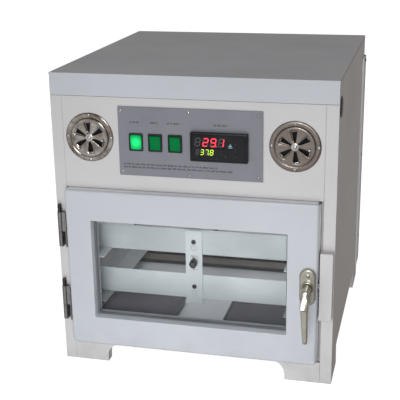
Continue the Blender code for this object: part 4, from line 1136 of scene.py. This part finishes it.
def rack_hardware():
    """Bolts, pressed dimples, pivot washers and nut on the front plate, and the axle."""
    low, high = span("rack_front_plate")
    x, face = (low[0] + high[0]) / 2, low[1]
    axle_low, axle_high = span("rack_axle")
    z = (axle_low[2] + axle_high[2]) / 2
    bolts = [screw_head((x, face, height), size("rack_bolt"), 2.4, turn=height) for height in RACK_BOLTS]
    piece("rack_bolts", bolts, "dark_screw", "rack")
    ring = [(3.6, face + 0.05), (3.9, face - 0.25), (4.6, face - 0.4), (5.3, face - 0.25), (5.6, face + 0.05)]
    dimples = [turned(ring, "y", (x, 0.0, height - 11.5), 36, looped=True) for height in RACK_BOLTS]
    piece("rack_pressed_rings", dimples, "zinc", "rack")
    clip = block((x - 6.4, face - 1.5, z - 13.5), (x + 6.4, face - 0.05, z + 13.5), 0.5)
    studs = [screw_head((x, face - 1.5, z + lift), 2.2, 1.3, cross=False) for lift in (-10.2, 10.2)]
    end = axle_low[1]
    rod = [(0.0, end), (4.2, end), (5.0, end + 0.8), (5.0, axle_high[1]), (0.0, axle_high[1])]
    turns = np.arange(end + 1.2, face - 1.4, 0.5)
    thread = [(5.0 + 0.25 * (place % 2), y) for place, y in enumerate(turns)]
    thread = [(4.6, turns[0]), *thread, (4.6, turns[-1])]
    piece("rack_axle_rod", [turned(rod, "y", (x, 0.0, z), 32), turned(thread, "y", (x, 0.0, z), 32, looped=True)],
          "dark_screw", "rack", replaces=("rack_axle",))
    piece("rack_pivot_clip", [clip, *studs], "screw", "rack")
    piece("rack_pivot_nut", [hexagon((x, z), 13.0, end + 2.2, face - 1.55)], "dark_screw", "rack")


def baffle_skirt():
    """Folded strip along the foot of the rear baffle, its brown a painted reflection, with a black strip under it as
    painted shade in the gap.
    """
    low, high = span("rear_baffle")
    bottom = span("floor_panel")[1][2]
    strip = block((low[0] + 2.0, low[1] - 2.6, bottom + 9.0), (high[0] - 2.0, low[1] - 0.4, bottom + 21.5), 0.5, "x")
    # black strip in the gap under the baffle: painted shade
    slot = block((low[0] + 2.0, low[1] + 1.0, bottom + 0.3), (high[0] - 2.0, low[1] + 3.0, low[2] - 0.3), 0.3, "x")
    piece("baffle_skirt", [strip], "skirt", "cabinet")
    piece("baffle_slot_mesh", [slot], "rubber", "cabinet")


BLADES = 6
BLADE_REACH = (9.0, 43.5)    # radius of a blade's root and tip
BLADE_MIDDLE = 359.0         # depth of the blades behind the front plane


def fan():
    """Hub with six twisted blades, and the ribbed shell of its motor."""
    low, high = span("fan_rotor")
    x, z = (low[0] + high[0]) / 2, (low[2] + high[2]) / 2
    hub = eased([(0.0, low[1]), (8.0, low[1] + 0.6), (11.0, low[1] + 3.5), (11.0, high[1]), (3.1, high[1]),
                 (3.1, 362.0), (0.0, 362.0)], 1)
    patches = [turned(hub, "y", (x, 0.0, z), 36)]
    reach = np.linspace(*BLADE_REACH, 12)
    for number in range(BLADES):
        spin = math.radians(360.0 / BLADES * number)
        pitch = np.radians(np.linspace(50.0, 26.0, len(reach)))[:, None]
        chord = np.interp(reach, [BLADE_REACH[0], 28.0, BLADE_REACH[1]], [5.0, 7.0, 4.0])[:, None]
        turn = np.linspace(0.0, 2 * np.pi, 16, endpoint=False)[None, :]
        u, v = chord * np.cos(turn), 0.9 * np.sin(turn)
        side = u * np.cos(pitch) - v * np.sin(pitch)
        y = BLADE_MIDDLE + u * np.sin(pitch) * 0.8 + v * np.cos(pitch)
        out = np.broadcast_to(reach[:, None], side.shape)
        patches.append(lofted(np.stack([x + out * math.cos(spin) - side * math.sin(spin), y,
                                        z + out * math.sin(spin) + side * math.cos(spin)], -1)))
    piece("fan_blades", patches, "black", "fan", replaces=("fan_rotor",))
    low, high = span("fan_motor")
    ribs = [(28.0 if place % 2 else 26.5, y) for place, y in enumerate(np.linspace(404.0, 466.0, 24))]
    shell = [(0.0, low[1]), (2.4, low[1]), (2.4, 399.0), (20.0, 399.2), (26.5, 402.0), *ribs, (34.0, 470.0),
             (34.0, high[1]), (0.0, high[1])]
    piece("fan_motor_shell", [turned(shell, "y", (x, 0.0, z), 56)], "steel", "cabinet",
          replaces=("fan_motor",))


def heating_ring():
    """Round bar bent into a ring whose two ends run back to the panel, with fins round the ring."""
    fan_low, fan_high = span("fan_rotor")
    x, z = (fan_low[0] + fan_high[0]) / 2, (fan_low[2] + fan_high[2]) / 2
    radius, depth, back = 60.0, 372.0, span("heater_element")[1][1]
    angle = np.radians(np.linspace(285.0, 615.0, 90))
    ring = np.stack([x + radius * np.cos(angle), np.full(90, depth), z + radius * np.sin(angle)], -1)
    legs = [np.linspace(ring[place] + (0.0, back - depth - 0.5, 0.0), ring[place] + (0.0, 5.0, 0.0), 8)
            for place in (0, -1)]
    path = np.concatenate([legs[0], ring[1:-1], legs[1][::-1]])
    tube = resampled(path, 150)
    wide = 3.6 + 0.7 * (np.arange(150) % 2) * ((np.arange(150) > 34) & (np.arange(150) < 116))
    piece("heating_bar", [swept(tube, wide, (0.31, 0.2, 0.93), 16)], "steel", "cabinet",
          replaces=("heater_element",), smooth=60.0)


def chamber_fittings():
    """Lamp, probe and the rack's geared motor."""
    low, high = span("chamber_lamp")
    x, y = (low[0] + high[0]) / 2, (low[1] + high[1]) / 2
    ceiling = high[2]
    bulb = eased([(0.0, -78.0), (9.0, -77.0), (18.0, -68.0), (20.0, -58.0), (17.0, -44.0), (12.5, -34.0), (11.5, -26.0),
                  (0.0, -26.0)], 2)
    cup = [(0.0, -28.0), (13.0, -28.0), (14.0, -26.5), (19.0, -22.0), (19.8, -18.0), (19.8, -0.5), (0.0, -0.5)]
    piece("lamp_bulb", [turned(bulb, "z", (x, y, ceiling), 40)], "bulb", "cabinet")
    piece("lamp_holder", [turned(cup, "z", (x, y, ceiling), 40)], "pan", "cabinet",
          replaces=("chamber_lamp",))
    low, high = span("temperature_probe")
    x, y, top = (low[0] + high[0]) / 2, (low[1] + high[1]) / 2, high[2]
    stem = eased([(0.0, -62.0), (1.8, -61.4), (2.5, -59.5), (2.5, -12.0), (3.4, -11.5), (3.4, -9.0), (5.8, -8.5),
                  (6.0, -0.3), (0.0, -0.3)], 1)
    piece("probe_stem", [turned(stem, "z", (x, y, top), 28)], "steel", "cabinet",
          replaces=("temperature_probe",))
    low, high = span("turning_motor")
    x, z, front = (low[0] + high[0]) / 2, (low[2] + high[2]) / 2, low[1]
    case = block((low[0], front + 0.1, low[2]), (high[0], front + 34.0, high[2]), 2.4)
    can = eased([(0.0, front + 33.0), (22.0, front + 33.0), (22.0, high[1] - 2.5), (20.0, high[1] - 0.2),
                 (0.0, high[1])], 1)
    corners = [(a, b) for a in (-25.0, 25.0) for b in (-25.0, 25.0)]
    screws = [screw_head((x + a, front + 34.0, z + b), 3.0, 1.6, "y", 1.0) for a, b in corners]
    piece("geared_motor", [case, turned(can, "y", (x, 0.0, z), 40), *screws], "steel", "cabinet",
          replaces=("turning_motor",))


# Studio

CAMERA_PLACE = (0.3713, -1.6282, 0.7913)
CAMERA_YAW = -14.197
CAMERA_PITCH = -18.103
CAMERA_ROLL = -0.930
CAMERA_LENS = 83.08


def camera(scene):
    """Camera whose axes come from its yaw about Z, its pitch, and its roll about the line of sight."""
    yaw, pitch, roll = (math.radians(value) for value in (CAMERA_YAW, CAMERA_PITCH, CAMERA_ROLL))
    ahead = Vector((math.sin(yaw) * math.cos(pitch), math.cos(yaw) * math.cos(pitch), math.sin(pitch)))
    level = Vector((math.cos(yaw), -math.sin(yaw), 0.0))
    over = level.cross(ahead)
    right = level * math.cos(roll) + over * math.sin(roll)
    up = over * math.cos(roll) - level * math.sin(roll)
    lens = bpy.data.cameras.new("camera")
    lens.sensor_width = 36.0
    lens.lens = CAMERA_LENS
    lens.clip_start, lens.clip_end = 0.05, 60.0
    made = bpy.data.objects.new("camera", lens)
    turn = Matrix((right, up, -ahead)).transposed().to_4x4()
    made.matrix_world = Matrix.Translation(CAMERA_PLACE) @ turn
    scene.collection.objects.link(made)
    scene.camera = made


def softbox(scene, name, place, aim, size, power, mirrored=True, lights=True):
    """Square lamp that the camera can't see; mirrored ones show in gloss, and a card only does that."""
    lamp = bpy.data.lights.new(name, "AREA")
    lamp.shape = "SQUARE"
    lamp.size = size
    lamp.energy = power
    made = bpy.data.objects.new(name, lamp)
    made.location = place
    made.rotation_euler = (Vector(aim) - Vector(place)).to_track_quat("-Z", "Y").to_euler()
    made.visible_camera = False
    made.visible_transmission = False
    made.visible_glossy = mirrored
    made.visible_diffuse = lights
    scene.collection.objects.link(made)


def floor(scene, studio):
    """Wide pale sheet, gently mottled; it glows a little so that it stays pale in any view."""
    u, v = np.meshgrid(np.linspace(-1.0, 1.0, 3), np.linspace(-1.0, 1.0, 3), indexing="xy")
    points, faces = grid(np.stack([u * 14.0, v * 14.0, np.zeros_like(u)], -1), around=False)
    mesh = bpy.data.meshes.new("floor")
    mesh.from_pydata(points.tolist(), [], faces.tolist())
    made = bpy.data.objects.new("floor", mesh)
    scene.collection.objects.link(made)
    sheet, tree, shader, place = new_surface("pale_floor")
    value = remap(tree, noise(tree, place, 2.5, 3.0), 0.3, 0.7, 0.33, 0.37)
    grey = fill(tree, tree.nodes.new("ShaderNodeCombineColor"), {"Red": value, "Green": value, "Blue": value})
    fill(tree, shader, {
        "Base Color": grey.outputs["Color"], "Roughness": 0.9, "Emission Color": (1.0, 1.0, 1.0, 1.0),
        "Emission Strength": studio.floor_glow})
    mesh.materials.append(sheet)
    made.visible_diffuse = False
    made.visible_glossy = False
    made.visible_shadow = False


def surroundings(scene, studio):
    """Even light from all round; the camera itself sees a pale backdrop."""
    world = bpy.data.worlds.new("studio")
    world.use_nodes = True
    tree = world.node_tree
    lit = fill(tree, tree.nodes["Background"], {"Color": (1.0, 0.93, 0.885, 1.0), "Strength": studio.ambient})
    seen = fill(tree, tree.nodes.new("ShaderNodeBackground"), {"Color": (1.0, 1.0, 1.0, 1.0), "Strength": 1.0})
    path = tree.nodes.new("ShaderNodeLightPath")
    choose = fill(tree, tree.nodes.new("ShaderNodeMixShader"), {
        0: path.outputs["Is Camera Ray"], 1: lit.outputs["Background"], 2: seen.outputs["Background"]})
    tree.links.new(choose.outputs["Shader"], tree.nodes["World Output"].inputs["Surface"])
    scene.world = world


# Settings


def colour_property(name, description, default):
    return FloatVectorProperty(name=name, description=description, default=default, size=3, min=0.0, max=1.0,
                               subtype="COLOR")


class IncubatorColours(bpy.types.PropertyGroup):
    """Colours that a user would change."""

    panel: colour_property("Panels", "Enamel of the sides, back and front panels", (0.60, 0.605, 0.622))
    door: colour_property("Door", "Enamel of the door and the top cover", (0.545, 0.585, 0.642))
    plate: colour_property("Control plate", "Paint of the control plate", (0.21, 0.22, 0.26))
    handle: colour_property("Handle", "Alloy of the handle and its back plate", (0.56, 0.55, 0.485))
    rocker: colour_property("Rockers", "Green of the rocker switches", (0.0, 0.19, 0.05))


def length_property(name, description, millimetres):
    return FloatProperty(name=name, description=description, default=millimetres * MM, min=0.1 * MM, max=0.05,
                         subtype="DISTANCE", unit="LENGTH", precision=4)


class IncubatorSizes(bpy.types.PropertyGroup):
    """Sizes of small parts that a user would change."""

    plate_screw: length_property("Plate screws", "Radius of the control plate's screw heads", 2.7)
    caption: length_property("Captions", "Height of the printed marks", 3.6)
    corner_lip: length_property("Rear lip", "How far the back sheet's lip stands out from the sides", 3.6)
    door_roll: length_property("Door edge", "Radius of the door's rolled front edge", 4.0)
    hinge_cap: length_property("Hinge cap", "Height of the cap above each hinge", 15.0)
    rack_bolt: length_property("Rack bolts", "Radius of the bolt heads on the rack's plate", 4.2)


class IncubatorStudio(bpy.types.PropertyGroup):
    """Light of the studio."""

    key: FloatProperty(name="Front softbox", description="Power of the softbox beside the camera", default=20.3,
                       min=0.0, unit="POWER")
    chamber: FloatProperty(name="Chamber light", description="Power of the soft light under the chamber's ceiling",
                           default=0.68, min=0.0, unit="POWER")
    ambient: FloatProperty(name="Surround", description="Strength of the even light all round", default=0.30, min=0.0)
    floor_glow: FloatProperty(name="Floor glow", description="How much the pale floor glows", default=0.93, min=0.0)


class IncubatorOperator:
    """What every step shares: it runs in one go and can be undone."""

    bl_options = {"REGISTER", "UNDO"}


class INCUBATOR_OT_finishes(IncubatorOperator, bpy.types.Operator):
    """Mix the finishes and give them to the carried-over sheet metal and glass"""

    bl_idname = "incubator.finishes"
    bl_label = "Finishes"

    def execute(self, context):
        mix_finishes(context.scene.incubator_colours)
        for key, names in NODE_FINISHES.items():
            paint_nodes(names, key)
        return {"FINISHED"}


class INCUBATOR_OT_cabinet_trim(IncubatorOperator, bpy.types.Operator):
    """Plugs, seams, corner strips and the fittings on the back"""

    bl_idname = "incubator.cabinet_trim"
    bl_label = "Cabinet trim"

    def execute(self, context):
        for make in (side_plugs, cover_seams, jamb_strip, corner_strips, back_fittings):
            make()
        return {"FINISHED"}


class INCUBATOR_OT_control_plate(IncubatorOperator, bpy.types.Operator):
    """Screws and printed captions of the control plate"""

    bl_idname = "incubator.control_plate"
    bl_label = "Control plate"

    def execute(self, context):
        plate_screws()
        plate_captions()
        return {"FINISHED"}


class INCUBATOR_OT_instrument(IncubatorOperator, bpy.types.Operator):
    """Temperature instrument with its figures and keys"""

    bl_idname = "incubator.instrument"
    bl_label = "Instrument"

    def execute(self, context):
        centre, reach = (30.0, -10.0, 410.0), 900.0
        looks = (("red", (1.0, 0.03, 0.06), 2.6), ("green", (0.62, 0.95, 0.05), 1.3),
                 ("blue", (0.25, 0.55, 0.6), 0.5))
        for key, colour, strength in looks:
            FINISHES[f"figures_{key}"] = finish(
                f"figures_{key}", "plastic", scaled(colour, 0.3), scaled(colour, 0.2), (0.3, 0.4), (0.02, 0.05),
                glow=(colour, strength, centre, reach))
        instrument()
        instrument_keys()
        return {"FINISHED"}


class INCUBATOR_OT_switches(IncubatorOperator, bpy.types.Operator):
    """Rocker switches, the left one lit"""

    bl_idname = "incubator.switches"
    bl_label = "Switches"

    def execute(self, context):
        green, lit = tuple(context.scene.incubator_colours.rocker), (0.02, 0.85, 0.22)
        # The left rocker is lit from inside; the faint glow of the middle and right ones is painted light.
        for side, strength, reach in (("left", 1.5, 14.0), ("middle", 0.03, 20.0), ("right", 0.03, 20.0)):
            centre = middle(f"switch_rocker_{side}")
            centre[1] = -5.0
            FINISHES[f"rocker_{side}"] = finish(
                f"rocker_green_{side}", "plastic", green, scaled(green, 0.8), (0.22, 0.32), (0.04, 0.1),
                settings={"Grain Scale": 300.0}, glow=(lit, strength, centre, reach), specular=0.06)
        switches()
        return {"FINISHED"}


class INCUBATOR_OT_vents(IncubatorOperator, bpy.types.Operator):
    """Two round air vents with slotted, turning dampers"""

    bl_idname = "incubator.vents"
    bl_label = "Air vents"

    def execute(self, context):
        vent("left", "bright")
        vent("right", "steel")
        return {"FINISHED"}


class INCUBATOR_OT_door(IncubatorOperator, bpy.types.Operator):
    """Glazing, seal, hinges and handle of the door"""

    bl_idname = "incubator.door"
    bl_label = "Door fittings"

    def execute(self, context):
        for make in (door_skin, door_glazing, hinges, rosette, lever):
            make()
        return {"FINISHED"}


class INCUBATOR_OT_chamber(IncubatorOperator, bpy.types.Operator):
    """Rack hardware, pans, fan, heater, lamp, probe and motor in the chamber"""

    bl_idname = "incubator.chamber"
    bl_label = "Chamber"

    def execute(self, context):
        for make in (rack_hardware, water_pans, baffle_skirt, fan, heating_ring, chamber_fittings):
            make()
        return {"FINISHED"}


class INCUBATOR_OT_studio(IncubatorOperator, bpy.types.Operator):
    """Pale floor, soft light and the camera"""

    bl_idname = "incubator.studio"
    bl_label = "Studio"

    def execute(self, context):
        scene, studio = context.scene, context.scene.incubator_studio
        camera(scene)
        softbox(scene, "front_softbox", (0.2, -2.48, 1.04), (0.0, 0.0, 0.24), 0.7, studio.key)
        softbox(scene, "floor_bounce", (0.0, -0.95, -0.05), (0.0, -0.24, 0.05), 0.6, studio.key * 0.15, mirrored=False)
        softbox(scene, "chamber_light", (0.0, 0.0, 0.4), (0.0, 0.0, 0.0), 0.2, studio.chamber, mirrored=False)
        softbox(scene, "front_card", (-0.35, -1.25, -0.15), (0.0, -0.2, 0.3), 1.7, studio.key * 0.2, lights=False)
        softbox(scene, "back_fill", (-0.9, 2.6, 0.45), (0.0, 0.0, 0.26), 1.2, studio.key * 0.7, mirrored=False)
        softbox(scene, "left_fill", (-2.6, -0.2, 0.35), (0.0, 0.0, 0.26), 1.2, studio.key * 0.5, mirrored=False)
        floor(scene, studio)
        surroundings(scene, studio)
        scene.view_settings.view_transform = "Standard"
        return {"FINISHED"}


STEPS = (
    INCUBATOR_OT_studio, INCUBATOR_OT_finishes, INCUBATOR_OT_cabinet_trim, INCUBATOR_OT_control_plate,
    INCUBATOR_OT_instrument, INCUBATOR_OT_switches, INCUBATOR_OT_vents, INCUBATOR_OT_door, INCUBATOR_OT_chamber,
)


class INCUBATOR_PT_panel(bpy.types.Panel):
    """Sidebar panel that lists the steps and their settings"""

    bl_idname = "INCUBATOR_PT_panel"
    bl_label = "Cabinet Incubator"
    bl_space_type = "VIEW_3D"
    bl_region_type = "UI"
    bl_category = "Incubator"

    def draw(self, context):
        scene = context.scene
        for group in (scene.incubator_colours, scene.incubator_sizes, scene.incubator_studio):
            for name in group.__annotations__:
                self.layout.prop(group, name)
        for step in STEPS:
            self.layout.operator(step.bl_idname)


CLASSES = (IncubatorColours, IncubatorSizes, IncubatorStudio, *STEPS, INCUBATOR_PT_panel)


def register():
    for made in CLASSES:
        bpy.utils.register_class(made)
    bpy.types.Scene.incubator_colours = PointerProperty(type=IncubatorColours)
    bpy.types.Scene.incubator_sizes = PointerProperty(type=IncubatorSizes)
    bpy.types.Scene.incubator_studio = PointerProperty(type=IncubatorStudio)


def unregister():
    del bpy.types.Scene.incubator_studio
    del bpy.types.Scene.incubator_sizes
    del bpy.types.Scene.incubator_colours
    for made in reversed(CLASSES):
        bpy.utils.unregister_class(made)


def main():
    register()
    for step in STEPS:
        getattr(bpy.ops.incubator, step.bl_idname.split(".")[1])()


if __name__ == "__main__":
    main()
